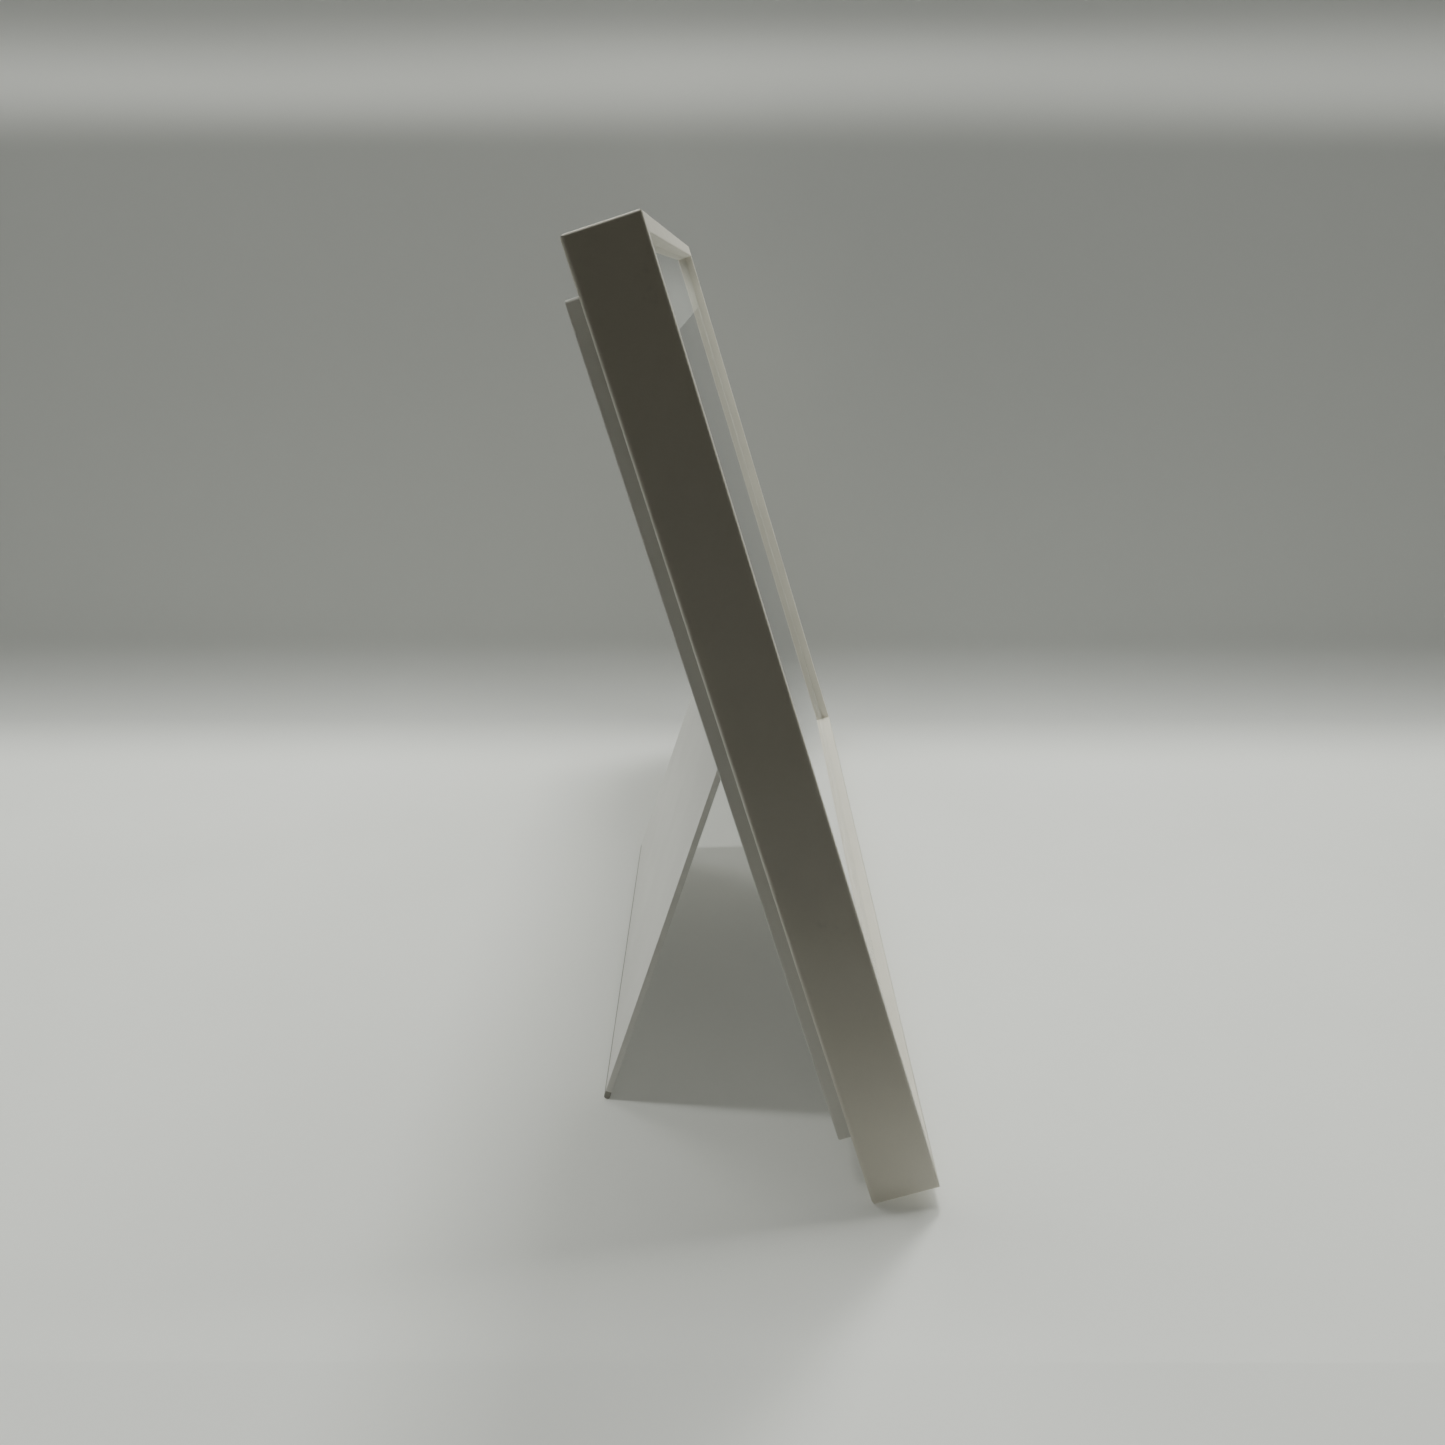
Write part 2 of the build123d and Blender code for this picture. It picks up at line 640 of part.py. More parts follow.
def button(x):
    """A domed key cap with its retaining collar and stem."""
    cap = rod_y(KEY_R, x, (Y_CEILING - 0.1, Y_BACK + KEY_PROUD), KEY_Z)
    cap = fillet(cap.edges().group_by(Axis.Y)[-1], 0.4)
    cap += rod_y(KEY_COLLAR_R, x, (Y_CEILING - 0.1 - KEY_COLLAR_T, Y_CEILING - 0.1), KEY_Z)
    stem_end = KEY_BOARD_Y + BOARD_T + 2.1 + KEY_TRAVEL + 0.1
    return cap + rod_y(1.2, x, (stem_end, Y_CEILING - 0.5), KEY_Z)


# Speakers

def speaker(side):
    """Oval loudspeaker box facing the grille."""
    x = side * SPEAKER_X
    y1 = Y_CEILING - SPEAKER_FACE_GAP
    sketch = Plane.XZ * RectangleRounded(SPEAKER[0], SPEAKER[2], 4.0)
    body = Pos(x, y1, SPEAKER_Z) * extrude(sketch, SPEAKER[1])
    dish = Pos(x, y1 + 0.1, SPEAKER_Z) * extrude(Plane.XZ * SlotOverall(32, 12, rotation=90), 1.2)
    return body - dish


def speaker_cone(side):
    """The moving diaphragm of one loudspeaker with its raised centre."""
    x = side * SPEAKER_X
    y1 = Y_CEILING - SPEAKER_FACE_GAP
    base = Pos(x, y1 - 0.6, SPEAKER_Z) * extrude(Plane.XZ * SlotOverall(31.4, 11.4, rotation=90), 0.45)
    dome = Pos(x, y1 - 0.2, SPEAKER_Z) * extrude(Plane.XZ * SlotOverall(18, 6, rotation=90), 0.5)
    return base + dome


def speaker_gaskets():
    """Foam rings that seal the loudspeakers to the rear cover."""
    out = []
    for side in (-1, 1):
        ring = Plane.XZ * (RectangleRounded(SPEAKER[0], SPEAKER[2], 4.0) - SlotOverall(34, 13, rotation=90))
        out.append(Pos(side * SPEAKER_X, Y_CEILING, SPEAKER_Z) * extrude(ring, SPEAKER_FACE_GAP))
    return group(out)


# Leads

def lead(points, radius, bend):
    """A round lead along straight runs joined by arcs."""
    path = FilletPolyline(*points, radius=bend)
    section = Plane(origin=path @ 0, z_dir=path % 0) * Circle(radius)
    return sweep(section, path=path)


def speaker_leads():
    """Leads from both loudspeakers to the main board."""
    start = SPEAKER_Z - SPEAKER[2] / 2 - 0.2
    left = lead([(-SPEAKER_X, LEAD_Y, start), (-SPEAKER_X, LEAD_Y, start - 12), (40, LEAD_Y, start - 12),
                 (54, LEAD_Y, 107), (LEAD_PLUG_LEFT[0], LEAD_Y, 107)], 0.6, 5)
    right = lead([(SPEAKER_X, LEAD_Y, start), (SPEAKER_X, LEAD_Y, start - 13),
                  (LEAD_PLUG_RIGHT[1] + 0.5, LEAD_Y, 109)], 0.6, 5)
    return group([left, right])


def antenna_lead():
    """Thin coaxial lead from the radio board to the film antenna."""
    y = Y_PARTS + 3.0
    points = [(164, y, 102), (164, y, 118), (145, y, 140), (60, y, 205), (24, y, 214), (24, y, 221),
              (24, Y_CEILING - 0.8, 229)]
    return lead(points, 0.5, 8)


def screen_ribbon():
    """Folded flat ribbon from the driver board to the main board."""
    y = (DRIVER_Y + DRIVER_T + 0.05, DRIVER_Y + DRIVER_T + 0.35)
    upright = block((26, 44), y, (40.5, 90))
    return upright + block((26, 66), y, (74, 90))


# Rear cover

def cover_screw_points():
    """Centres of the screws round the cover's flange."""
    points = [(x, z) for x in COVER_SCREW_XS for z in (SCREW_IN, FRAME_H - SCREW_IN)]
    points += [(x, z) for x in (SCREW_IN - FRAME_W / 2, FRAME_W / 2 - SCREW_IN) for z in COVER_SCREW_ZS]
    return points


def cover_shell():
    """Flange and rear box as one moulded shell."""
    flange = plate(FRAME_W - 2 * RAIL_WALL - 0.4, FRAME_H - 2 * RAIL_WALL - 0.4, (Y_FLANGE, -FLANGE_DROP))
    box = plate(2 * BOX_HALF, BOX_HIGH - BOX_LOW, (Y_FLANGE, Y_BACK))
    box = fillet(box.edges().filter_by(Axis.Y), 1.0)
    box = fillet(box.edges().group_by(Axis.Y)[-1], 0.5)
    hollow = plate(2 * (BOX_HALF - COVER_T), BOX_HIGH - BOX_LOW - 2 * COVER_T, (Y_FLANGE - 1, Y_CEILING))
    return flange + box - hollow


def socket_pocket(cover):
    """Adds the pocket that the plugs go into, with an opening for each socket."""
    x0, x1 = POCKET_X
    z0, z1 = POCKET_Z
    walls = block((x0 - POCKET_T, x1 + POCKET_T), (POCKET_FLOOR - POCKET_T, Y_CEILING + 0.5),
                  (z0 - POCKET_T, z1 + POCKET_WALL))
    cover += walls
    cover -= block((x0, x1), (POCKET_FLOOR, Y_BACK + 1), (z0, z1))
    cover -= block((x0 + 20, x1 - 20), (-FLANGE_DROP, Y_BACK + 1), (BOX_LOW - 1, z0 + 1))
    through = (z1 - 1, z1 + POCKET_WALL + 1)
    for x, size in ((DC_X, DC_SOCKET), (USB_X, USB_SOCKET), (CARD_X, CARD_SOCKET), (AUDIO_X, AUDIO_SOCKET)):
        half = size[0] / 2 + PLAY
        cover -= block((x - half, x + half), (Y_PARTS - PLAY, Y_PARTS + size[1] + PLAY), through)
    cover -= block(BOARD_X, (Y_BOARD - PLAY, Y_PARTS + PLAY), (BOARD_Z[0] - PLAY, through[1]))
    return cover


def hinge_wells(cover):
    """Adds the two sunk wells that hold the hinge brackets."""
    for x in HINGE_XS:
        half = HINGE_BASE_HALF_X + 1.0
        z = (HINGE_Z - HINGE_BASE_HALF_Z - 0.5, HINGE_Z + HINGE_BASE_HALF_Z + 0.5)
        tub = block((x - half - POCKET_T, x + half + POCKET_T), (Y_WELL - WELL_FLOOR_T, Y_CEILING + 0.5),
                    (z[0] - POCKET_T, z[1] + POCKET_T))
        cover += tub
        cover -= block((x - half, x + half), (Y_WELL, Y_BACK + 1), z)
        for dx in (-HINGE_SCREW_DX, HINGE_SCREW_DX):
            cover += rod_y(2.2, x + dx, (Y_WELL - WELL_FLOOR_T - 2.4, Y_WELL - 0.5), HINGE_Z)
            cover -= rod_y(1.0, x + dx, (Y_WELL - WELL_FLOOR_T - 2.0, Y_WELL + 0.5), HINGE_Z)
    return cover


def keyhole_cups(cover):
    """Adds the cups behind the keyhole plates and the seats that the plates sit in."""
    width, thick, height = KEYHOLE_PLATE
    cup_w, cup_d, cup_h = KEYHOLE_CUP
    z_mid = KEYHOLE_Z + KEYHOLE_DROP / 2
    y_seat = Y_BACK - thick
    for x in KEYHOLE_XS:
        def around(w, h):
            return (x - w / 2, x + w / 2), (z_mid - h / 2, z_mid + h / 2)
        out_x, out_z = around(cup_w + 2.4, cup_h + 2.4)
        cover += block(out_x, (y_seat - cup_d - 1.2, Y_CEILING + 0.5), out_z)
        in_x, in_z = around(cup_w, cup_h)
        cover -= block(in_x, (y_seat - cup_d, Y_BACK + 1), in_z)
        seat_x, seat_z = around(width + 0.3, height + 0.3)
        cover -= block(seat_x, (y_seat, Y_BACK + 1), seat_z)
        for z in keyhole_screw_heights():
            cover += rod_y(2.2, x, (y_seat - 4.0, y_seat - 0.3), z)
            cover -= rod_y(0.85, x, (y_seat - 3.6, y_seat + 0.5), z)
    return cover


def keyhole_screw_heights():
    """Heights of the two screws of a keyhole plate."""
    middle = KEYHOLE_Z + KEYHOLE_DROP / 2
    return (middle - 14.4, middle + 14.4)


def grilles_and_vents(cover):
    """Cuts the loudspeaker grilles and the row of cooling slots."""
    for side in (-1, 1):
        for i in range(-4, 5):
            slot = Plane.XZ * SlotOverall(11, 1.4)
            cover -= Pos(side * SPEAKER_X, Y_BACK + 1, SPEAKER_Z + i * 3.4) * extrude(slot, 4)
    for z in VENT_ZS:
        for i in range(-6, 7):
            slot = Plane.XZ * SlotOverall(8, 2.0, rotation=90)
            cover -= Pos(i * 5.0, Y_BACK + 1, z) * extrude(slot, 4)
    return cover


def rear_cover():
    """The whole back moulding."""
    cover = cover_shell()
    cover = socket_pocket(cover)
    cover = hinge_wells(cover)
    cover = keyhole_cups(cover)
    cover = grilles_and_vents(cover)
    for x in KEY_XS.values():
        cover -= rod_y(KEY_R + KEY_PLAY, x, (Y_CEILING - 1, Y_BACK + 1), KEY_Z)
    for x in KEY_SCREW_XS:
        cover += rod_y(2.2, x, (KEY_BOARD_Y + BOARD_T, Y_CEILING + 0.5), KEY_SCREW_Z)
        cover -= rod_y(0.95, x, (KEY_BOARD_Y + BOARD_T - 0.1, Y_CEILING - 0.2), KEY_SCREW_Z)
    for x, z in cover_screw_points():
        cover -= rod_y(1.5, x, (Y_FLANGE - 1, 1), z)
        cover -= rod_y(2.6, x, (-FLANGE_DROP - 1.1, 1), z)
    return cover


def cover_screws():
    """Screws round the flange of the rear cover."""
    return group(pan_screw(x, -FLANGE_DROP - 1.1, z, 2.3, 1.0, 1.1, 6.0) for x, z in cover_screw_points())


def keyhole_plate(x):
    """Steel plate with a keyhole: round for the screw head, narrow slot above it."""
    width, thick, height = KEYHOLE_PLATE
    z_mid = KEYHOLE_Z + KEYHOLE_DROP / 2
    sheet = plate(width, height, (Y_BACK - thick, Y_BACK), (x, z_mid))
    sheet = fillet(sheet.edges().filter_by(Axis.Y), 2.0)
    through = (Y_BACK - thick - 1, Y_BACK + 1)
    sheet -= rod_y(KEYHOLE_HEAD_R, x, through, KEYHOLE_Z)
    sheet -= rod_y(KEYHOLE_SLOT_R, x, through, KEYHOLE_Z + KEYHOLE_DROP)
    sheet -= block((x - KEYHOLE_SLOT_R, x + KEYHOLE_SLOT_R), through, (KEYHOLE_Z, KEYHOLE_Z + KEYHOLE_DROP))
    for z in keyhole_screw_heights():
        sheet -= rod_y(1.1, x, through, z)
        sheet -= Pos(x, Y_BACK - 0.5, z) * Rot(X=-90) * Cone(1.1, 2.1, 1.01)
    return sheet


def keyhole_screws():
    """Countersunk screws that hold the keyhole plates."""
    out = []
    for x in KEYHOLE_XS:
        for z in keyhole_screw_heights():
            head = Pos(x, Y_BACK - 0.55, z) * Rot(X=-90) * Cone(1.0, 1.95, 0.9)
            shank = rod_y(0.8, x, (Y_BACK - 4.6, Y_BACK - 0.9), z)
            slot = block((x - 1.2, x + 1.2), (Y_BACK - 0.5, Y_BACK + 0.1), (z - 0.25, z + 0.25))
            out.append(head + shank - slot)
    return group(out)


# Stand and its hinges, drawn folded flat and then opened

def open_stand(shape):
    """Turns a folded piece about the hinge line to where the stand rests."""
    return Pos(0, HINGE_Y, HINGE_Z) * Rot(X=STAND_OPEN) * Pos(0, -HINGE_Y, -HINGE_Z) * shape


def stand_plate():
    """Sheet with two barrels on its top edge and a stop nib above each barrel."""
    y = (HINGE_Y - STAND_T / 2, HINGE_Y + STAND_T / 2)
    low = HINGE_Z - STAND_L + STRIP_H
    sheet = block((STAND_LEFT, STAND_RIGHT), y, (low, HINGE_Z - 3.2))
    sheet = fillet(sheet.edges().filter_by(Axis.Y).group_by(Axis.Z)[-1], 3.0)
    half = KNUCKLE_L / 2
    for x in HINGE_XS:
        sheet += block((x - half, x + half), y, (HINGE_Z - 4, HINGE_Z + STOP_L))
        sheet += rod_x(KNUCKLE_R, (x - half, x + half), HINGE_Y, HINGE_Z)
        sheet -= rod_x(PIN_R + PIN_PLAY, (x - half - 1, x + half + 1), HINGE_Y, HINGE_Z)
    return open_stand(sheet)


def stand_foot_strip():
    """Rubber strip along the stand's lower edge, rounded where it meets the table."""
    z_low = HINGE_Z - STAND_L
    y = (HINGE_Y - STAND_T / 2, HINGE_Y + STAND_T / 2)
    strip = block((STAND_LEFT, STAND_RIGHT), y, (z_low + STAND_T / 2, z_low + STRIP_H))
    strip += rod_x(STAND_T / 2, (STAND_LEFT, STAND_RIGHT), HINGE_Y, z_low + STAND_T / 2)
    return open_stand(strip)


def hinge_bracket(x):
    """Clevis bracket: a base with two ears that carry the pin."""
    y_top = Y_WELL + HINGE_BASE_T
    base = block((x - HINGE_BASE_HALF_X, x + HINGE_BASE_HALF_X), (Y_WELL, y_top),
                 (HINGE_Z - HINGE_BASE_HALF_Z, HINGE_Z + HINGE_BASE_HALF_Z))
    inner = KNUCKLE_L / 2 + WASHER_T + 0.1
    for side in (-1, 1):
        ear_x = tuple(sorted((x + side * inner, x + side * (inner + EAR_T))))
        ear = block(ear_x, (Y_WELL, HINGE_Y), (HINGE_Z - 2.6, HINGE_Z + 2.6))
        ear += rod_x(2.6, ear_x, HINGE_Y, HINGE_Z)
        base += ear
        base -= rod_y(1.2, x + side * HINGE_SCREW_DX, (Y_WELL - 1, y_top + 1), HINGE_Z)
    reach = inner + EAR_T + 1
    return base - rod_x(PIN_R + 0.02, (x - reach, x + reach), HINGE_Y, HINGE_Z)


def hinge_pin(x):
    """Pin through a bracket's ears with a head on one end."""
    reach = KNUCKLE_L / 2 + WASHER_T + 0.1 + EAR_T
    pin = rod_x(PIN_R, (x - reach - 0.9, x + reach + 0.1), HINGE_Y, HINGE_Z)
    return pin + rod_x(PIN_R * 1.6, (x + reach + 0.05, x + reach + 0.9), HINGE_Y, HINGE_Z)


def hinge_washers():
    """Friction washers, one each side of every barrel."""
    out = []
    inner = KNUCKLE_L / 2 + 0.05
    for x in HINGE_XS:
        for side in (-1, 1):
            ends = tuple(sorted((x + side * inner, x + side * (inner + WASHER_T))))
            bore = rod_x(PIN_R + 0.08, (ends[0] - 1, ends[1] + 1), HINGE_Y, HINGE_Z)
            out.append(rod_x(2.3, ends, HINGE_Y, HINGE_Z) - bore)
    return group(out)


def hinge_screws():
    """Screws that hold the hinge brackets to the rear cover."""
    return group(pan_screw(x + dx, Y_WELL + HINGE_BASE_T, HINGE_Z, 1.9, 1.1, 0.95, 4.4)
                 for x in HINGE_XS for dx in (-HINGE_SCREW_DX, HINGE_SCREW_DX))


def all_pieces():
    """Every piece by its name, on the upright frame."""
    pieces = {f"frame_rail_{side}": frame_rail(side) for side in ("bottom", "top", "left", "right")}
    pieces["corner_keys"] = corner_keys()
    pieces["rubber_feet"] = group(foot(x) for x in FOOT_XS)
    makers = (
        cover_glass, mat_board, screen_gasket, screen_rim, lcd_cell, light_films, light_guide, reflector_sheet,
        led_strip, screen_tray, driver_board, screen_flexes, screen_ribbon, screen_brackets, bracket_screws,
        main_board, processor, thermal_pad, heat_sink, memory_chips, power_parts, wireless_module,
        wireless_antenna, antenna_lead, board_standoffs, board_screws, dc_socket, usb_socket, card_socket,
        audio_socket, key_board, key_switches, key_ribbon, key_screws, speaker_gaskets, speaker_leads,
        rear_cover, cover_screws, keyhole_screws, stand_plate, stand_foot_strip, hinge_washers,
        hinge_screws,
    )
    for maker in makers:
        pieces[maker.__name__] = maker()
    pieces["speaker_left"] = speaker(-1)
    pieces["speaker_right"] = speaker(1)
    pieces["speaker_cones"] = group(speaker_cone(side) for side in (-1, 1))
    pieces["keyhole_plates"] = group(keyhole_plate(x) for x in KEYHOLE_XS)
    pieces["hinge_brackets"] = group(hinge_bracket(x) for x in HINGE_XS)
    pieces["hinge_pins"] = group(hinge_pin(x) for x in HINGE_XS)
    for name, x in KEY_XS.items():
        pieces[name] = button(x)
    return pieces


os.makedirs("parts", exist_ok=True)
leaned = {name: Rot(X=-LEAN) * shape for name, shape in all_pieces().items()}
boxes = [shape.bounding_box() for shape in leaned.values()]
middle_y = (min(b.min.Y for b in boxes) + max(b.max.Y for b in boxes)) / 2
lowest = min(b.min.Z for b in boxes)
for name, shape in leaned.items():
    export_step(Pos(0, -middle_y, -lowest) * shape, f"parts/{name}.step")
print(len(leaned), "nodes; shift in Y", round(-middle_y, 4), "and Z", round(-lowest, 4))
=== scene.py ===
"""A digital photo frame on its back stand: finishes, printed marks, room and camera."""

from __future__ import annotations

import json
import logging
import math
from dataclasses import dataclass, field
from enum import Enum
from typing import Any

import bmesh
import bpy
from mathutils import Matrix, Vector

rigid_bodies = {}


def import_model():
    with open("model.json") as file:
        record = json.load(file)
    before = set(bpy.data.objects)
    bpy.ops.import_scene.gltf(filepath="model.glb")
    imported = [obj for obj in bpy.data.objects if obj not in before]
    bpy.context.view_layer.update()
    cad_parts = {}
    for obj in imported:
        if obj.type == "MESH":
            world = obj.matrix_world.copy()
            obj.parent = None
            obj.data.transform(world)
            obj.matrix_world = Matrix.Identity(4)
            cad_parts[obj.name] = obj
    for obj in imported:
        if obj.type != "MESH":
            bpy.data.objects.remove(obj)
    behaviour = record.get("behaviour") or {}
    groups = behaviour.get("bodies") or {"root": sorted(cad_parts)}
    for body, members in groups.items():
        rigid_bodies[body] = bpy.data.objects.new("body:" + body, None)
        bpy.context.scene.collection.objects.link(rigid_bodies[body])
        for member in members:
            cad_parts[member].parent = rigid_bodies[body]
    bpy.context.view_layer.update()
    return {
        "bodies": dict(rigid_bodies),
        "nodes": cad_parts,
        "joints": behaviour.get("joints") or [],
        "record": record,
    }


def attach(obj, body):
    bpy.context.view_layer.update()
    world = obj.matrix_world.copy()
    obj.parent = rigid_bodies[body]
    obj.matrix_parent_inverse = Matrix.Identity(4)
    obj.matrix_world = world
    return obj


LOG = logging.getLogger("photo_frame")
MM = 0.001
HINGE_PLACE = (5.9, 112.4)      # upright Y and Z of the stand's hinge, in millimetres

Colour = tuple[float, float, float]


class Wire:
    """A shader value that takes part in Python sums."""

    def __init__(self, graph: Graph, socket: bpy.types.NodeSocket) -> None:
        """Keeps the graph that the socket belongs to."""
        self.graph = graph
        self.socket = socket

    def __add__(self, other: Wire | float) -> Wire:
        """Adds a value."""
        return self.graph.math("ADD", self, other)

    __radd__ = __add__

    def __sub__(self, other: Wire | float) -> Wire:
        """Takes a value away."""
        return self.graph.math("SUBTRACT", self, other)

    def __rsub__(self, other: Wire | float) -> Wire:
        """Is taken away from a value."""
        return self.graph.math("SUBTRACT", other, self)

    def __mul__(self, other: Wire | float) -> Wire:
        """Multiplies by a value."""
        return self.graph.math("MULTIPLY", self, other)

    __rmul__ = __mul__

    def __abs__(self) -> Wire:
        """Drops the sign."""
        return self.graph.math("ABSOLUTE", self)

    def low(self, other: Wire | float) -> Wire:
        """The lower of two values."""
        return self.graph.math("MINIMUM", self, other)

    def high(self, other: Wire | float) -> Wire:
        """The higher of two values."""
        return self.graph.math("MAXIMUM", self, other)

    def above(self, start: float, end: float) -> Wire:
        """Rises from 0 to 1 between two values.

        Args:
            start: Where it leaves 0.
            end: Where it reaches 1.

        Returns:
            The clamped share.
        """
        inputs = {"Value": self, "From Min": start, "From Max": end}
        return self.graph.node("ShaderNodeMapRange", {"interpolation_type": "SMOOTHSTEP"}, inputs)


class Graph:
    """The node tree of one material or world."""

    def __init__(self, owner: bpy.types.Material | bpy.types.World) -> None:
        """Starts an empty tree on its owner."""
        owner.use_nodes = True
        self.owner = owner
        self.tree = owner.node_tree
        self.tree.nodes.clear()

    def node(self, kind: str, settings: dict[str, Any] | None = None,
             inputs: dict[str | int, Any] | None = None, out: str | int = 0) -> Wire:
        """Adds a node.

        Args:
            kind: The node's type.
            settings: Its settings, set before its sockets.
            inputs: Values or wires by socket name or number.
            out: The output that is wanted.

        Returns:
            A wire from that output.
        """
        made = self.tree.nodes.new(kind)
        for key, value in (settings or {}).items():
            setattr(made, key, value)
        for key, value in (inputs or {}).items():
            if isinstance(value, Wire):
                self.tree.links.new(value.socket, made.inputs[key])
            else:
                made.inputs[key].default_value = value
        return Wire(self, made.outputs[out])

    def math(self, operation: str, *values: Wire | float) -> Wire:
        """Adds a Math node on values or wires."""
        return self.node("ShaderNodeMath", {"operation": operation}, dict(enumerate(values)))

    def blend(self, share: Wire | float, first: Any, second: Any) -> Wire:
        """Mixes two colours.

        Args:
            share: 0 for the first, 1 for the second.
            first: A colour or a wire.
            second: A colour or a wire.

        Returns:
            The mixed colour.
        """
        ends = [value if isinstance(value, Wire) else (*value, 1.0) for value in (first, second)]
        return self.node("ShaderNodeMix", {"data_type": "RGBA"}, {0: share, 6: ends[0], 7: ends[1]}, 2)

    def place(self) -> Wire:
        """The point's object coordinates, in metres."""
        return self.node("ShaderNodeTexCoord", out="Object")

    def mapped(self, scale: tuple[float, float, float] = (1, 1, 1),
               turn: tuple[float, float, float] = (0, 0, 0),
               shift: tuple[float, float, float] = (0, 0, 0)) -> Wire:
        """Object coordinates, stretched, turned and shifted."""
        inputs = {"Vector": self.place(), "Scale": scale, "Rotation": turn, "Location": shift}
        return self.node("ShaderNodeMapping", None, inputs)

    def parts(self, vector: Wire) -> tuple[Wire, Wire, Wire]:
        """The three parts of a vector."""
        made = self.node("ShaderNodeSeparateXYZ", None, {0: vector})
        return tuple(Wire(self, socket) for socket in made.socket.node.outputs)

    def noise(self, size: float, vector: Wire, detail: float = 2.0, rough: float = 0.5) -> Wire:
        """Soft noise.

        Args:
            size: Size of one blotch, in millimetres.
            vector: Where it is read.
            detail: How many finer layers it has.
            rough: How strong those are.

        Returns:
            The noise, about 0.3 to 0.7.
        """
        inputs = {"Vector": vector, "Scale": 1 / (size * MM), "Detail": detail, "Roughness": rough}
        return self.node("ShaderNodeTexNoise", None, inputs)

    def bump(self, height: Wire, depth: float, strength: float = 1.0) -> Wire:
        """A normal from a height.

        Args:
            height: 0 to 1.
            depth: What 1 stands for, in millimetres.
            strength: Share of the effect.

        Returns:
            The bumped normal.
        """
        inputs = {"Height": height, "Distance": depth * MM, "Strength": strength}
        return self.node("ShaderNodeBump", None, inputs)

    def principled(self, **inputs: Any) -> Wire:
        """A Principled shader; socket names are written with underscores."""
        named = {key.replace("_", " "): value for key, value in inputs.items()}
        return self.node("ShaderNodeBsdfPrincipled", None, named)

    def close(self, surface: Wire) -> bpy.types.Material | bpy.types.World:
        """Joins the shader to the output and gives the tree's owner."""
        kind = "World" if isinstance(self.owner, bpy.types.World) else "Material"
        end = self.tree.nodes.new(f"ShaderNodeOutput{kind}")
        self.tree.links.new(surface.socket, end.inputs["Surface"])
        return self.owner


class Pattern(Enum):
    """How a finish's fine relief runs."""

    PEEL = "soft pebbles, as powder coat has"
    SPARK = "sharp fine pits, as moulded plastic has"
    STREAK = "long scratches, as brushed metal has"
    FIBRE = "short crossing hairs, as card has"
    WEAVE = "crossing threads"
    RIBS = "even ribs along one axis"
    CELLS = "closed round cells, as foam has"


@dataclass(frozen=True)
class Panel:
    """The leaned frame: turns its upright millimetres into metres where the object stands.

    Upright axes are X across, Y to the back from the frame's back edge, and Z up from its lower edge.
    """

    lean: float
    shift: Vector

    @classmethod
    def of(cls, record: dict[str, Any], hinge: tuple[float, float]) -> Panel:
        """Finds the lean and the place from the joints.

        Args:
            record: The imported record.
            hinge: Upright Y and Z of the stand's hinge, in millimetres.

        Returns:
            The panel.
        """
        joints = {joint["name"]: joint for joint in record["behaviour"]["joints"]}
        press = joints["power_key"]["axis"]
        lean = math.atan2(press[2], -press[1])
        turned = Matrix.Rotation(-lean, 3, "X") @ Vector((0.0, *hinge)) * MM
        return cls(lean, Vector(joints["stand_hinge"]["pos_m"]) - turned)

    def matrix(self) -> Matrix:
        """From upright millimetres to metres in place."""
        turn = Matrix.Rotation(-self.lean, 4, "X")
        return Matrix.Translation(self.shift) @ turn @ Matrix.Scale(MM, 4)

    def upright(self, graph: Graph) -> Wire:
        """Upright coordinates of a surface point, in metres."""
        back = -(Matrix.Rotation(self.lean, 3, "X") @ self.shift)
        return graph.mapped(turn=(self.lean, 0, 0), shift=tuple(back))


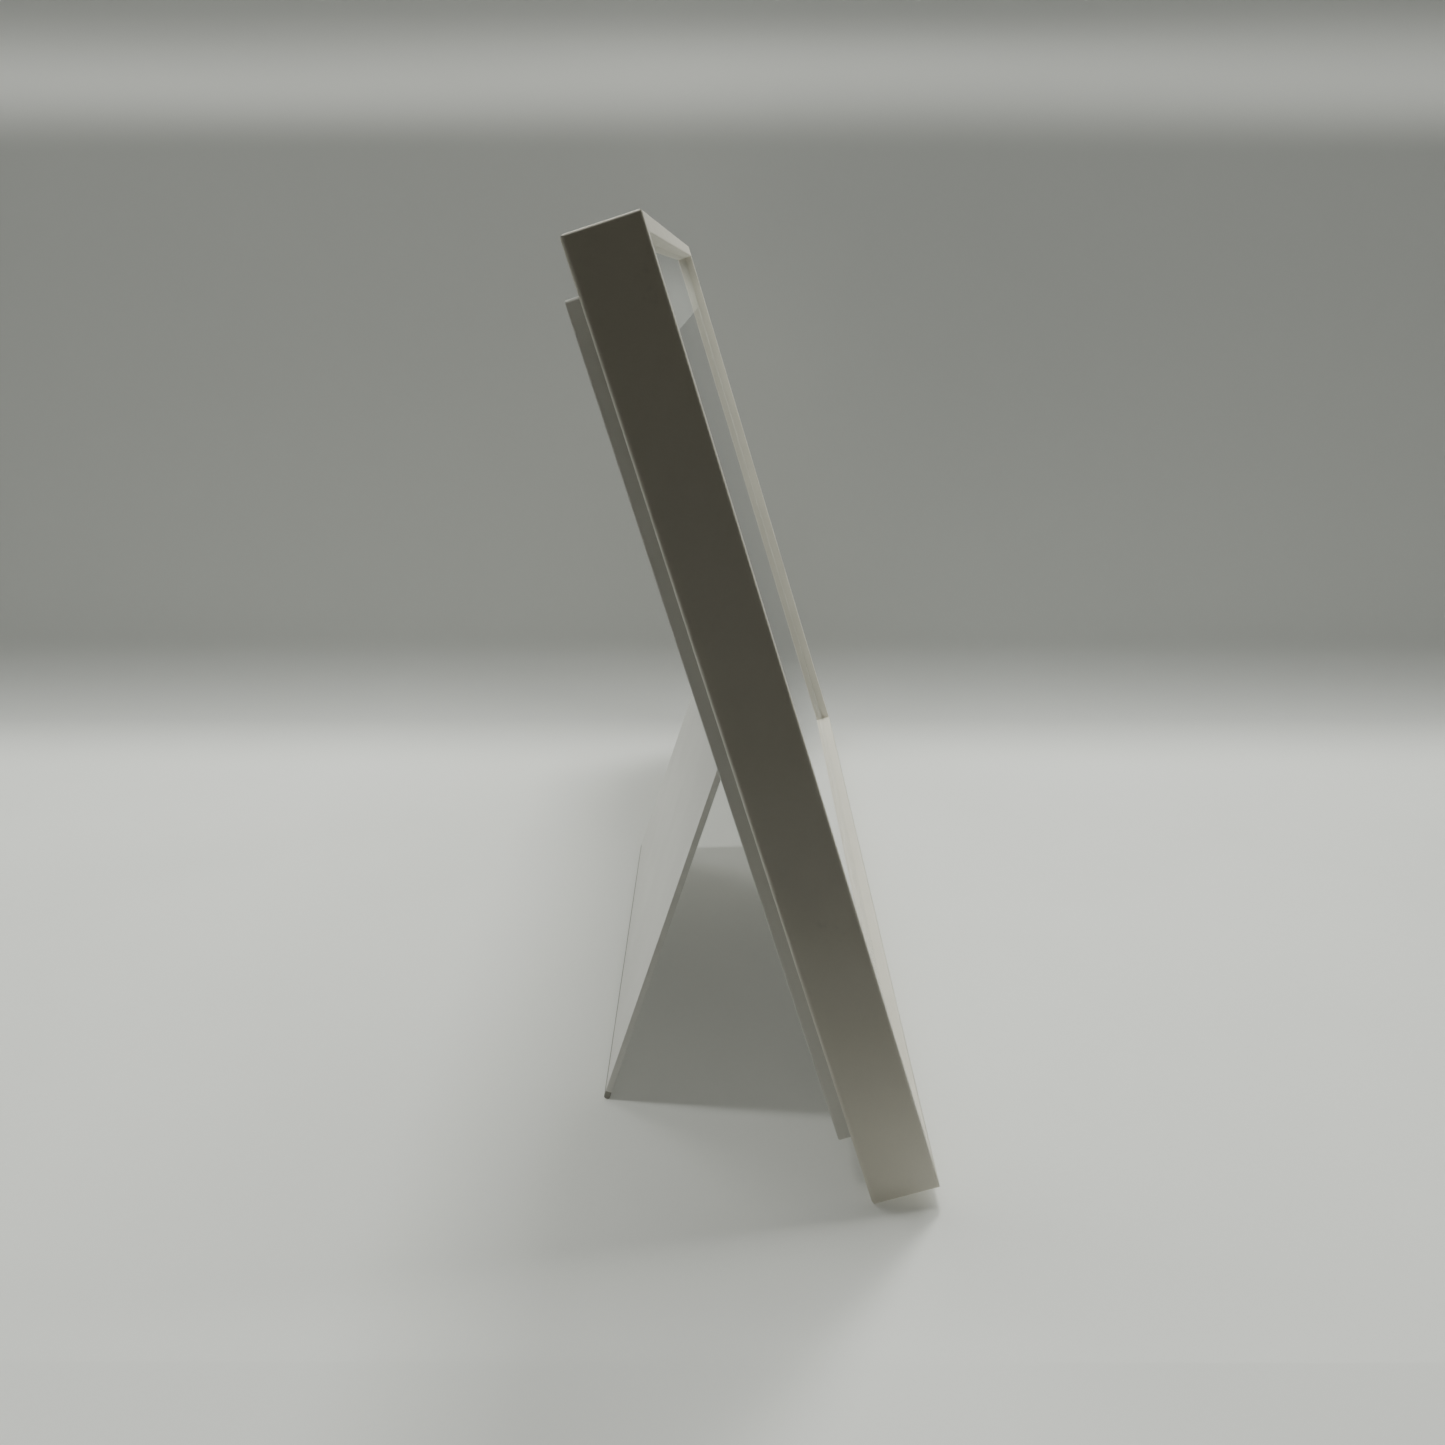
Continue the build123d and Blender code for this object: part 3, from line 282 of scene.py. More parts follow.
@dataclass(frozen=True)
class Finish:
    """A finish: two tints mottled together under a fine relief.

    Attributes:
        tint: The lighter colour.
        shade: The darker colour in the mottle.
        rough: Lowest and highest roughness.
        pattern: How the fine relief runs.
        grain: Size of one grain, in millimetres.
        depth: Depth of the relief, in millimetres.
        mottle: Size of the colour's blotches, in millimetres.
        stretch: How the grain is stretched along X, Y and Z.
        metallic: 1 for bare metal.
        coat: Weight of a clear coat.
        specular: How much the surface mirrors, 0.5 as usual.
    """

    tint: Colour
    shade: Colour
    rough: tuple[float, float] = (0.45, 0.6)
    pattern: Pattern = Pattern.PEEL
    grain: float = 0.5
    depth: float = 0.01
    mottle: float = 30.0
    stretch: tuple[float, float, float] = (1.0, 1.0, 1.0)
    metallic: float = 0.0
    coat: float = 0.0
    specular: float = 0.5

    def relief(self, graph: Graph) -> Wire:
        """Height of the fine relief.

        Args:
            graph: The material's nodes.

        Returns:
            The height, 0 to 1.
        """
        where = graph.mapped(scale=self.stretch)
        scale = 1 / (self.grain * MM)
        if self.pattern is Pattern.PEEL:
            return graph.noise(self.grain, where, 1.0, 0.4)
        if self.pattern is Pattern.SPARK:
            return graph.noise(self.grain, where, 4.0, 0.75)
        if self.pattern is Pattern.STREAK:
            return graph.noise(self.grain, where, 3.0, 0.7)
        if self.pattern is Pattern.CELLS:
            return graph.node("ShaderNodeTexVoronoi", None, {"Vector": where, "Scale": scale}, "Distance")
        if self.pattern is Pattern.FIBRE:
            across = graph.mapped(scale=(1.0, 1.0, 0.15), turn=(0, 0.5, 0))
            return graph.noise(self.grain, where, 2.0) * 0.5 + graph.noise(self.grain, across, 2.0) * 0.5
        across, along = (self.bands(graph, where, axis, self.grain) for axis in ("X", "Z"))
        return across.high(along) if self.pattern is Pattern.WEAVE else across

    @staticmethod
    def bands(graph: Graph, where: Wire, axis: str, size: float) -> Wire:
        """Even bands across one axis.

        Args:
            graph: The material's nodes.
            where: The coordinates that they follow.
            axis: The axis that they cross.
            size: From one band to the next, in millimetres.

        Returns:
            The share, 0 to 1.
        """
        settings = {"wave_type": "BANDS", "bands_direction": axis, "wave_profile": "SIN"}
        inputs = {"Vector": where, "Scale": math.pi / (10 * size * MM)}
        return graph.node("ShaderNodeTexWave", settings, inputs, "Fac")

    def colour(self, graph: Graph, relief: Wire) -> Wire:
        """The mottled colour, with painted shade in the hollows of the relief.

        Args:
            graph: The material's nodes.
            relief: Height of the fine relief.

        Returns:
            The colour.
        """
        mottle = graph.noise(self.mottle, graph.place(), 3.0, 0.6).above(0.35, 0.65)
        # painted shade: the colour darkens towards the shade tint in the hollows of the relief
        hollow_shade = (1 - relief).above(0.35, 0.9)
        return graph.blend((mottle * 0.6 + hollow_shade * 0.4), self.tint, self.shade)

    def roughness(self, graph: Graph, relief: Wire) -> Wire:
        """Roughness between its two ends, from a noise and the relief."""
        patches = graph.noise(self.mottle * 0.4, graph.place(), 3.0, 0.6)
        low, high = self.rough
        return (patches.above(0.3, 0.7) * 0.7 + relief * 0.3) * (high - low) + low

    def surface(self, graph: Graph, panel: Panel) -> Wire:
        """The whole shader.

        Args:
            graph: The material's nodes.
            panel: The leaned frame, for finishes that follow its edges.

        Returns:
            The shader.
        """
        relief = self.relief(graph)
        return graph.principled(
            Base_Color=self.colour(graph, relief), Roughness=self.roughness(graph, relief),
            Metallic=self.metallic, Coat_Weight=self.coat, Coat_Roughness=0.12,
            Specular_IOR_Level=self.specular, Normal=graph.bump(relief, self.depth),
        )

    def material(self, name: str, panel: Panel) -> bpy.types.Material:
        """Makes the material under a name."""
        graph = Graph(bpy.data.materials.new(name))
        return graph.close(self.surface(graph, panel))


@dataclass(frozen=True)
class PowderCoat(Finish):
    """Powder coat with a painted highlight and a little more gloss along the frame's edges, and faintly
    marked by hands.

    Attributes:
        size: Width, depth and height of the frame, in millimetres.
        wear_and_highlight_reach: How far from an edge the painted highlight and the extra gloss fade, in
            millimetres.
        marks: Colour of the faint hand marks.
    """

    size: tuple[float, float, float] = (401.0, 18.3, 250.4)
    wear_and_highlight_reach: float = 1.6
    marks: Colour = (0.5, 0.47, 0.42)

    def edges(self, graph: Graph, panel: Panel) -> Wire:
        """1 on the frame's long outer edges, falling to 0 beside them.

        Args:
            graph: The material's nodes.
            panel: The leaned frame.

        Returns:
            The share.
        """
        width, depth, height = (value * MM for value in self.size)
        x, y, z = graph.parts(panel.upright(graph))
        from_side = width / 2 - abs(x)
        from_end = height / 2 - abs(z - height / 2)
        from_face = depth / 2 - abs(y + depth / 2)
        between = from_side.low(from_end).high(from_side.high(from_end).low(from_face))
        uneven = graph.noise(9.0, graph.place(), 3.0) * 0.8 * MM
        return 1 - (between + uneven).above(0.3 * MM, self.wear_and_highlight_reach * MM)

    def surface(self, graph: Graph, panel: Panel) -> Wire:
        """Adds the painted edge highlight, the glossier edges and the marks.

        Args:
            graph: The material's nodes.
            panel: The leaned frame.

        Returns:
            The shader.
        """
        relief = self.relief(graph)
        # the edge mask drives a painted highlight in the colour and a glossier, worn finish in the
        # roughness
        wear_and_highlight = self.edges(graph, panel)
        smudge = graph.noise(22.0, graph.place(), 4.0, 0.7).above(0.6, 0.78)
        smudge = smudge * graph.noise(1.6, graph.place(), 2.0).above(0.35, 0.75) * 0.35
        colour = graph.blend(smudge, self.colour(graph, relief), self.marks)
        # painted highlight: a lighter tint along the edges, where their fillets would catch the light
        colour = graph.blend(wear_and_highlight * 0.5, colour, tuple(min(1.0, value * 1.12) for value in self.tint))
        return graph.principled(
            Base_Color=colour, Roughness=self.roughness(graph, relief) - wear_and_highlight * 0.14,
            Specular_IOR_Level=self.specular, Normal=graph.bump(relief, self.depth),
        )


@dataclass(frozen=True)
class GlassPane(Finish):
    """Clear float glass with a little dust, which lets lamps light what is behind it."""

    def surface(self, graph: Graph, panel: Panel) -> Wire:
        """Bends light for the eye and lets it straight through for lamps.

        Args:
            graph: The material's nodes.
            panel: Not used by glass.

        Returns:
            The shader.
        """
        dust = graph.noise(0.35, graph.place(), 2.0, 0.6).above(0.66, 0.8)
        smear = graph.noise(55.0, graph.mapped(scale=(1.0, 1.0, 2.5)), 4.0, 0.6).above(0.45, 0.75)
        low, high = self.rough
        glass = graph.principled(
            Base_Color=graph.blend(dust * 0.1, self.tint, self.shade),
            Roughness=(smear * 0.6 + dust * 0.4) * (high - low) + low,
            IOR=1.5, Transmission_Weight=1.0,
        )
        lamps = graph.node("ShaderNodeLightPath", out="Is Shadow Ray")
        clear = graph.node("ShaderNodeBsdfTransparent", None, {"Color": (*self.tint, 1.0)})
        return graph.node("ShaderNodeMixShader", None, {0: lamps, 1: glass, 2: clear})


@dataclass(frozen=True)
class ScreenFace(Finish):
    """The dark screen: a fine grid of picture cells under a faintly satin film.

    Attributes:
        pitch: From one picture cell to the next, in millimetres.
    """

    pitch: float = 0.18

    def surface(self, graph: Graph, panel: Panel) -> Wire:
        """A dark face whose cells show only close up.

        Args:
            graph: The material's nodes.
            panel: The leaned frame, which the grid follows.

        Returns:
            The shader.
        """
        where = panel.upright(graph)
        columns, rows = (self.bands(graph, where, axis, self.pitch) for axis in ("X", "Z"))
        grid = columns.high(rows).above(0.8, 1.0)
        relief = graph.noise(self.grain, where, 2.0)
        return graph.principled(
            Base_Color=graph.blend(grid * 0.5, self.tint, self.shade),
            Roughness=self.roughness(graph, relief), Specular_IOR_Level=self.specular,
            Normal=graph.bump(relief, self.depth),
        )


@dataclass(frozen=True)
class CircuitBoard(Finish):
    """Solder mask over copper tracks, with tinned pads.

    Attributes:
        track: Width of a field of tracks, in millimetres.
        turns: How many tracks lie side by side in a field.
        pad_gap: From one pad to the next, in millimetres.
        metal: Colour of the pads.
    """

    track: float = 3.2
    turns: float = 6.0
    pad_gap: float = 2.1
    metal: Colour = (0.72, 0.7, 0.62)

    def surface(self, graph: Graph, panel: Panel) -> Wire:
        """Square-cornered tracks under the mask and pads that break through it.

        Args:
            graph: The material's nodes.
            panel: The leaned frame, which the tracks follow.

        Returns:
            The shader.
        """
        where = panel.upright(graph)
        fields = graph.node("ShaderNodeTexVoronoi", {"distance": "MANHATTAN"},
                            {"Vector": where, "Scale": 1 / (self.track * MM)}, "Distance")
        lines = graph.math("FRACT", fields * self.turns).above(0.55, 0.65)
        spots = {"Vector": where, "Scale": 1 / (self.pad_gap * MM), "Randomness": 0.6}
        pads = graph.node("ShaderNodeTexVoronoi", {"distance": "CHEBYCHEV"}, spots, "Distance")
        bare = (1 - pads).above(0.84, 0.87)
        mask = graph.blend(lines * 0.8, self.shade, self.tint)
        return graph.principled(
            Base_Color=graph.blend(bare, mask, self.metal), Metallic=bare * 0.9,
            Roughness=self.roughness(graph, lines), Coat_Weight=0.3,
            Normal=graph.bump(lines + bare, self.depth),
        )


@dataclass(frozen=True)
class Backdrop(Finish):
    """Matt paper of the floor and the sweep, with painted shade on the sweep and a painted band of light
    high up.

    Attributes:
        painted_light_band: Height of the middle of the painted band of light and half its width, in metres.
        wall: Colour of the sweep above the floor, darker than the floor's: painted shade.
        cove: Height up the sweep by which the painted shade of the wall is full, in metres.
        shade_run: Where painted shade starts to darken the floor towards the sweep and where it ends, in
            metres.
    """

    painted_light_band: tuple[float, float] = (0.326, 0.036)
    wall: Colour = (0.405, 0.409, 0.4)
    cove: float = 0.03
    shade_run: tuple[float, float] = (0.14, 0.25)

    def surface(self, graph: Graph, panel: Panel) -> Wire:
        """Paper that can't be seen from behind.

        Args:
            graph: The material's nodes.
            panel: Not used by paper.

        Returns:
            The shader.
        """
        relief = self.relief(graph)
        where = graph.mapped(scale=(1.0, 0.12, 1.0))
        wander = graph.noise(90.0, where, 1.0) * 0.03
        middle, half = self.painted_light_band
        across, _, level = graph.parts(graph.place())
        # painted light: a lighter band across the sweep at one height, its edge wandering a little
        painted_light_band = 1 - abs(level + wander - 0.015 - middle).above(0.0, half)
        # painted shade: the paper darkens from the floor's colour to the wall's up the cove and towards the
        # sweep
        turned = level.above(0.0, self.cove).high(across.above(*self.shade_run))
        colour = graph.blend(turned, self.colour(graph, relief), self.wall)
        # painted light: the band is blended towards near white
        colour = graph.blend(painted_light_band * 0.75, colour, (0.96, 0.96, 0.94))
        paper = graph.principled(
            Base_Color=colour, Roughness=self.roughness(graph, relief),
            Specular_IOR_Level=0.2, Normal=graph.bump(relief, self.depth),
        )
        behind = graph.node("ShaderNodeNewGeometry", out="Backfacing")
        clear = graph.node("ShaderNodeBsdfTransparent")
        return graph.node("ShaderNodeMixShader", None, {0: behind, 1: paper, 2: clear})


def finish_book() -> dict[str, Finish]:
    """Every finish by its slot's name.

    Returns:
        The finishes.
    """
    coat = {"rough": (0.42, 0.56), "grain": 0.45, "depth": 0.006}
    metal = {"metallic": 1.0, "pattern": Pattern.STREAK}
    plastic = {"pattern": Pattern.SPARK, "grain": 0.35}
    return {
        "frame_white": PowderCoat((0.80, 0.76, 0.665), (0.765, 0.725, 0.635), **coat),
        "stand_white": PowderCoat((0.83, 0.82, 0.79), (0.79, 0.78, 0.75), wear_and_highlight_reach=0.9, **coat),
        "cover_white": Finish((0.80, 0.785, 0.745), (0.76, 0.745, 0.705),
                              (0.5, 0.64), depth=0.014, **plastic),
        "key_white": Finish((0.78, 0.78, 0.76), (0.74, 0.74, 0.72), (0.32, 0.45), depth=0.006, **plastic),
        "front_glass": GlassPane((0.965, 0.985, 0.975), (0.8, 0.82, 0.8), (0.008, 0.05)),
        "mat_card": Finish((0.86, 0.86, 0.84), (0.82, 0.82, 0.79), (0.75, 0.9), Pattern.FIBRE, 0.3, 0.02),
        "foam_black": Finish((0.035, 0.035, 0.036), (0.018, 0.018, 0.019),
                             (0.85, 0.95), Pattern.CELLS, 0.4, 0.08),
        "screen_black": ScreenFace((0.008, 0.009, 0.012), (0.02, 0.022, 0.03), (0.16, 0.24), depth=0.002),
        "film_clear": Finish((0.86, 0.89, 0.9), (0.78, 0.82, 0.84),
                             (0.1, 0.22), Pattern.CELLS, 0.6, 0.004, coat=0.3),
        "sheet_white": Finish((0.88, 0.88, 0.88), (0.82, 0.82, 0.83), (0.4, 0.55), depth=0.006, **plastic),
        "light_strip": Finish((0.86, 0.82, 0.55), (0.8, 0.79, 0.68), (0.35, 0.5), Pattern.RIBS, 2.75, 0.02),
        "tray_steel": Finish((0.62, 0.63, 0.62), (0.5, 0.51, 0.53), (0.28, 0.42), grain=0.25, depth=0.008,
                             stretch=(0.06, 1.0, 1.0), **metal),
        "pin_steel": Finish((0.74, 0.73, 0.71), (0.62, 0.61, 0.6), (0.18, 0.32), grain=0.12, depth=0.003,
                            stretch=(1.0, 0.3, 1.0), **metal),
        "board_green": CircuitBoard((0.03, 0.2, 0.09), (0.012, 0.11, 0.05), (0.28, 0.4), depth=0.02),
        "chip_black": Finish((0.05, 0.05, 0.053), (0.03, 0.03, 0.032), (0.45, 0.6), depth=0.01, **plastic),
        "pad_grey": Finish((0.42, 0.47, 0.53), (0.36, 0.4, 0.46), (0.7, 0.8), Pattern.CELLS, 0.3, 0.02),
        "sink_aluminium": Finish((0.8, 0.8, 0.81), (0.68, 0.68, 0.7), (0.26, 0.4), grain=0.2, depth=0.006,
                                 stretch=(1.0, 1.0, 0.05), **metal),
        "film_amber": Finish((0.55, 0.27, 0.05), (0.42, 0.19, 0.03),
                             (0.22, 0.32), Pattern.RIBS, 0.4, 0.01, coat=0.4),
        "ribbon_white": Finish((0.84, 0.85, 0.88), (0.55, 0.57, 0.62),
                               (0.3, 0.4), Pattern.RIBS, 0.5, 0.02, coat=0.3),
        "lead_black": Finish((0.03, 0.03, 0.032), (0.02, 0.02, 0.021),
                             (0.4, 0.55), Pattern.SPARK, 0.3, 0.01),
        "pillar_brass": Finish((0.78, 0.58, 0.26), (0.62, 0.44, 0.18),
                               (0.22, 0.38), grain=0.15, depth=0.004, **metal),
        "socket_steel": Finish((0.72, 0.72, 0.7), (0.6, 0.6, 0.59), (0.24, 0.38), grain=0.18, depth=0.005,
                               stretch=(1.0, 1.0, 0.1), **metal),
        "socket_black": Finish((0.03, 0.03, 0.031), (0.018, 0.018, 0.019),
                               (0.38, 0.5), depth=0.008, **plastic),
        "speaker_black": Finish((0.045, 0.045, 0.047), (0.025, 0.025, 0.026),
                                (0.45, 0.6), depth=0.012, **plastic),
        "cone_grey": Finish((0.12, 0.12, 0.125), (0.07, 0.07, 0.075),
                            (0.6, 0.75), Pattern.FIBRE, 0.25, 0.03),
        "washer_nylon": Finish((0.8, 0.78, 0.7), (0.74, 0.72, 0.64), (0.35, 0.5), depth=0.005, **plastic),
        "foot_rubber": Finish((0.4, 0.385, 0.35), (0.32, 0.31, 0.28), (0.65, 0.8), depth=0.02, **plastic),
        "mark_ink": Finish((0.2, 0.205, 0.21), (0.16, 0.165, 0.17), (0.5, 0.65), depth=0.004, **plastic),
        "grille_cloth": Finish((0.05, 0.05, 0.052), (0.012, 0.012, 0.013),
                               (0.8, 0.9), Pattern.WEAVE, 0.35, 0.06),
        "flag_cloth": Finish((0.012, 0.012, 0.012), (0.008, 0.008, 0.008),
                             (0.9, 1.0), Pattern.WEAVE, 0.8, 0.1),
        "backdrop": Backdrop((0.82, 0.825, 0.80), (0.79, 0.795, 0.77),
                             (0.75, 0.9), Pattern.FIBRE, 2.0, 0.02, mottle=160.0),
    }


@dataclass
class Workshop:
    """What every sub-assembly needs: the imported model, the leaned frame and the finishes.

    Attributes:
        panel: The leaned frame.
        materials: The finishes made so far, by name.
    """

    frame: dict[str, Any]
    panel: Panel
    materials: dict[str, bpy.types.Material] = field(default_factory=dict)

    def material(self, name: str) -> bpy.types.Material:
        """The material of a finish, made once."""
        if name not in self.materials:
            self.materials[name] = finish_book()[name].material(name, self.panel)
        return self.materials[name]

    def dress(self, nodes: tuple[str, ...]) -> None:
        """Gives each CAD node the finish of its slot.

        Args:
            nodes: Names of the nodes.
        """
        slots = {part["node"]: part["material_slot"] for part in self.frame["record"]["subparts"]}
        for name in nodes:
            for holder in self.frame["nodes"][name].material_slots:
                holder.material = self.material(slots[name])
            LOG.info("dressed %s in %s", name, slots[name])

    def piece(self, mesh: bmesh.types.BMesh, name: str, finish: str, slot: str,
              body: str) -> bpy.types.Object:
        """Turns a mesh drawn on the upright frame into a finished piece.

        Args:
            mesh: The shape, in upright millimetres.
            name: Name of the piece.
            finish: Its finish.
            slot: The record's slot that it belongs to; not used.
            body: The body that it moves with.

        Returns:
            The piece.
        """
        bmesh.ops.remove_doubles(mesh, verts=mesh.verts, dist=0.002)
        bmesh.ops.recalc_face_normals(mesh, faces=mesh.faces)
        bmesh.ops.transform(mesh, matrix=self.panel.matrix(), verts=mesh.verts)
        data = bpy.data.meshes.new(name)
        mesh.to_mesh(data)
        mesh.free()
        data.materials.append(self.material(finish))
        made = bpy.data.objects.new(name, data)
        bpy.context.scene.collection.objects.link(made)
        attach(made, body)
        LOG.info("built %s with %d faces on %s", name, len(data.polygons), body)
        return made


@dataclass
class Strokes:
    """Draws small marks from bars and arcs on the back of the cover.

    Attributes:
        y: Upright depth of the surface that they lie on.
        width: Width of a stroke.
        height: How far a stroke stands off the surface.
        mesh: What they are drawn into.
    """

    y: float
    width: float = 0.45
    height: float = 0.06
    mesh: bmesh.types.BMesh = field(default_factory=bmesh.new)

    def bar(self, x: float, z: float, length: float, angle: float) -> None:
        """A straight stroke with softened edges.

        Args:
            x: Its middle.
            z: Its middle.
            length: Its length.
            angle: Degrees from level.
        """
        turn = Matrix.Rotation(math.radians(angle), 4, "Y")
        size = Matrix.Diagonal((length, 2 * self.height, self.width, 1.0))
        place = Matrix.Translation((x, self.y, z)) @ turn @ size
        made = bmesh.ops.create_cube(self.mesh, size=1.0, matrix=place)
        upright = [e for e in {e for v in made["verts"] for e in v.link_edges} if self.is_deep(e)]
        bmesh.ops.bevel(self.mesh, geom=upright, offset=self.width * 0.3, segments=2, profile=0.5,
                        affect="EDGES", material=-1)

    @staticmethod
    def is_deep(edge: bmesh.types.BMEdge) -> bool:
        """True for an edge that runs into the surface."""
        run = edge.verts[0].co - edge.verts[1].co
        return abs(run.y) > 0.9 * run.length

    def arc(self, x: float, z: float, radius: float, start: float, sweep: float) -> None:
        """A curved stroke.

        Args:
            x: Centre of the arc.
            z: Centre of the arc.
            radius: Its middle radius.
            start: Degrees from straight up to where it starts.
            sweep: Degrees that it runs through; 360 closes it.
        """
        half = self.width / 2
        corners = [(radius - half, -1), (radius + half, -1), (radius + half, 1), (radius - half, 1)]
        turn = Matrix.Translation((x, self.y, z)) @ Matrix.Rotation(math.radians(start), 4, "Y")
        verts = [self.mesh.verts.new(turn @ Vector((0, side * self.height, r))) for r, side in corners]
        face = self.mesh.faces.new(verts)
        closed = sweep >= 360
        made = bmesh.ops.spin(self.mesh, geom=[face, *face.edges, *face.verts], cent=(x, self.y, z),
                              axis=(0, 1, 0), angle=math.radians(sweep), steps=36, use_merge=closed)
        if closed:
            bmesh.ops.delete(self.mesh, geom=[f for f in made["geom_last"]
                                              if isinstance(f, bmesh.types.BMFace)], context="FACES_ONLY")


@dataclass
class SubAssembly:
    """CAD nodes that are finished together.

    Attributes:
        shop: Where the finishes come from.
        nodes: The CAD nodes that it dresses.
    """

    shop: Workshop
    nodes: tuple[str, ...] = ()

    def build(self) -> None:
        """Dresses the nodes."""
        self.shop.dress(self.nodes)


@dataclass
class FrameRails(SubAssembly):
    """The mitred rails, their corner keys and the feet."""

    nodes: tuple[str, ...] = ("frame_rail_bottom", "frame_rail_top", "frame_rail_left", "frame_rail_right",
                              "corner_keys", "rubber_feet")


@dataclass
class Screen(SubAssembly):
    """The pane, the mat and the layers of the screen behind them."""

    nodes: tuple[str, ...] = ("cover_glass", "mat_board", "screen_gasket", "screen_rim", "lcd_cell",
                              "light_films", "light_guide", "reflector_sheet", "led_strip", "screen_tray",
                              "driver_board", "screen_flexes", "screen_ribbon", "screen_brackets",
                              "bracket_screws")


@dataclass
class Electronics(SubAssembly):
    """The boards, sockets and what is soldered to them."""

    nodes: tuple[str, ...] = ("main_board", "processor", "thermal_pad", "heat_sink", "memory_chips",
                              "power_parts", "wireless_module", "wireless_antenna", "antenna_lead",
                              "board_standoffs",
                              "board_screws", "dc_socket", "usb_socket", "card_socket", "audio_socket",
                              "key_board", "key_switches", "key_ribbon", "key_screws")


@dataclass
class Speakers(SubAssembly):
    """Two loudspeakers behind their grilles, each with a dust cloth.

    Attributes:
        x: Middle of each loudspeaker, from the frame's middle.
        z: Height of their middle.
        opening: Width and height of the rounded opening in the seal.
        cloth_y: Upright depth of the cloth.
        cloth_t: Thickness of the cloth.
    """

    x: float = 168.0
    z: float = 150.0
    opening: tuple[float, float] = (12.6, 33.4)
    cloth_y: float = 2.35
    cloth_t: float = 0.12
    nodes: tuple[str, ...] = ("speaker_gaskets", "speaker_leads", "speaker_left", "speaker_right",
                              "speaker_cones")

    def cloth(self, side: int) -> bmesh.types.BMesh:
        """A thin sheet with round ends.

        Args:
            side: -1 for the left loudspeaker, 1 for the right.

        Returns:
            The shape.
        """
        width, height = self.opening
        mesh = bmesh.new()
        flat = Matrix.Translation((side * self.x, self.cloth_y, self.z))
        flat = flat @ Matrix.Rotation(math.pi / 2, 4, "X")
        bmesh.ops.create_circle(mesh, cap_ends=True, segments=32, radius=width / 2, matrix=flat)
        for sign in (-1, 1):
            ends = [v for v in mesh.verts if (v.co.z - self.z) * sign > 0.01]
            bmesh.ops.translate(mesh, verts=ends, vec=(0, 0, sign * (height - width) / 2))
        bmesh.ops.solidify(mesh, geom=mesh.faces[:], thickness=self.cloth_t)
        return mesh

    def build(self) -> None:
        """Builds the cloths and dresses the loudspeakers."""
        for name, side in (("grille_cloth_left", -1), ("grille_cloth_right", 1)):
            self.shop.piece(self.cloth(side), name, "grille_cloth", "speaker_black", "frame")
        super().build()


@dataclass
class RearCover(SubAssembly):
    """The back moulding with its screws, keyholes, and the marks for keys and sockets.

    Attributes:
        back_y: Upright depth of the rear box's face.
        mark_z: Height of the marks under the keys.
        keys_x: Middle of each key.
        socket_mark_z: Height of the marks above the sockets.
        sockets_x: Middle of each socket.
        gap: Degrees left open in the ring for power.
        row: From one bar of the menu's mark to the next.
        arrow: Length of an arrow's leg, its slope and how far its middle is from level.
        stick: Width and height of the memory stick's mark.
        card: Width and height of the card's mark.
        contact: From one contact of the card to the next.
    """

    back_y: float = 4.6
    mark_z: float = 214.5
    keys_x: tuple[float, ...] = (120.0, 134.0, 148.0, 162.0)
    socket_mark_z: float = 52.5
    sockets_x: tuple[float, ...] = (84.0, 106.0, 134.0, 162.0)
    gap: float = 70.0
    row: float = 1.3
    arrow: tuple[float, float, float] = (2.3, 42.0, 0.72)
    stick: tuple[float, float] = (2.2, 3.4)
    card: tuple[float, float] = (3.0, 3.8)
    contact: float = 0.7
    nodes: tuple[str, ...] = ("rear_cover", "cover_screws", "keyhole_plates", "keyhole_screws")

    def key_marks(self) -> bmesh.types.BMesh:
        """A broken ring for power, three bars for the menu, and two arrows.

        Returns:
            The shape.
        """
        pen = Strokes(self.back_y)
        power, menu, back, onward = self.keys_x
        z = self.mark_z
        pen.arc(power, z, 1.5, self.gap / 2, 360.0 - self.gap)
        pen.bar(power, z + 1.3, 1.9, 90.0)
        for step in (-1, 0, 1):
            pen.bar(menu, z + step * self.row, 3.4, 0.0)
        leg, slope, rise = self.arrow
        for x, side in ((back, -1), (onward, 1)):
            for end in (-1, 1):
                pen.bar(x, z + end * rise, leg, side * end * slope)
        return pen.mesh

    def socket_marks(self) -> bmesh.types.BMesh:
        """A ring and dot for power, a plug, a card, and headphones.

        Returns:
            The shape.
        """
        pen = Strokes(self.back_y)
        power, stick, card, phones = self.sockets_x
        z = self.socket_mark_z
        pen.arc(power, z, 1.7, 0.0, 360.0)
        pen.arc(power, z, 0.4, 0.0, 360.0)
        for x, (width, height) in ((stick, self.stick), (card, self.card)):
            for side in (-1, 1):
                pen.bar(x, z + side * height / 2, width, 0.0)
                pen.bar(x + side * width / 2, z, height, 90.0)
        pen.bar(stick, z - 2.6, 1.3, 0.0)
        for step in (-1, 0, 1):
            pen.bar(card + step * self.contact, z + 1.1, 1.0, 90.0)
        pen.arc(phones, z - 0.3, 1.7, -90.0, 180.0)
        for side in (-1, 1):
            pen.bar(phones + side * 1.55, z - 0.9, 1.4, 90.0)
        return pen.mesh

    def build(self) -> None:
        """Builds the marks and dresses the cover."""
        self.shop.piece(self.key_marks(), "key_marks", "mark_ink", "cover_white", "frame")
        self.shop.piece(self.socket_marks(), "socket_marks", "mark_ink", "cover_white", "frame")
        super().build()


@dataclass
class Keys(SubAssembly):
    """The four keys on the back."""

    nodes: tuple[str, ...] = ("power_button", "menu_button", "back_button", "next_button")


@dataclass
class Stand(SubAssembly):
    """The hinged stand with its two clevis hinges."""

    nodes: tuple[str, ...] = ("stand_plate", "stand_foot_strip", "hinge_brackets", "hinge_pins",
                              "hinge_washers", "hinge_screws")


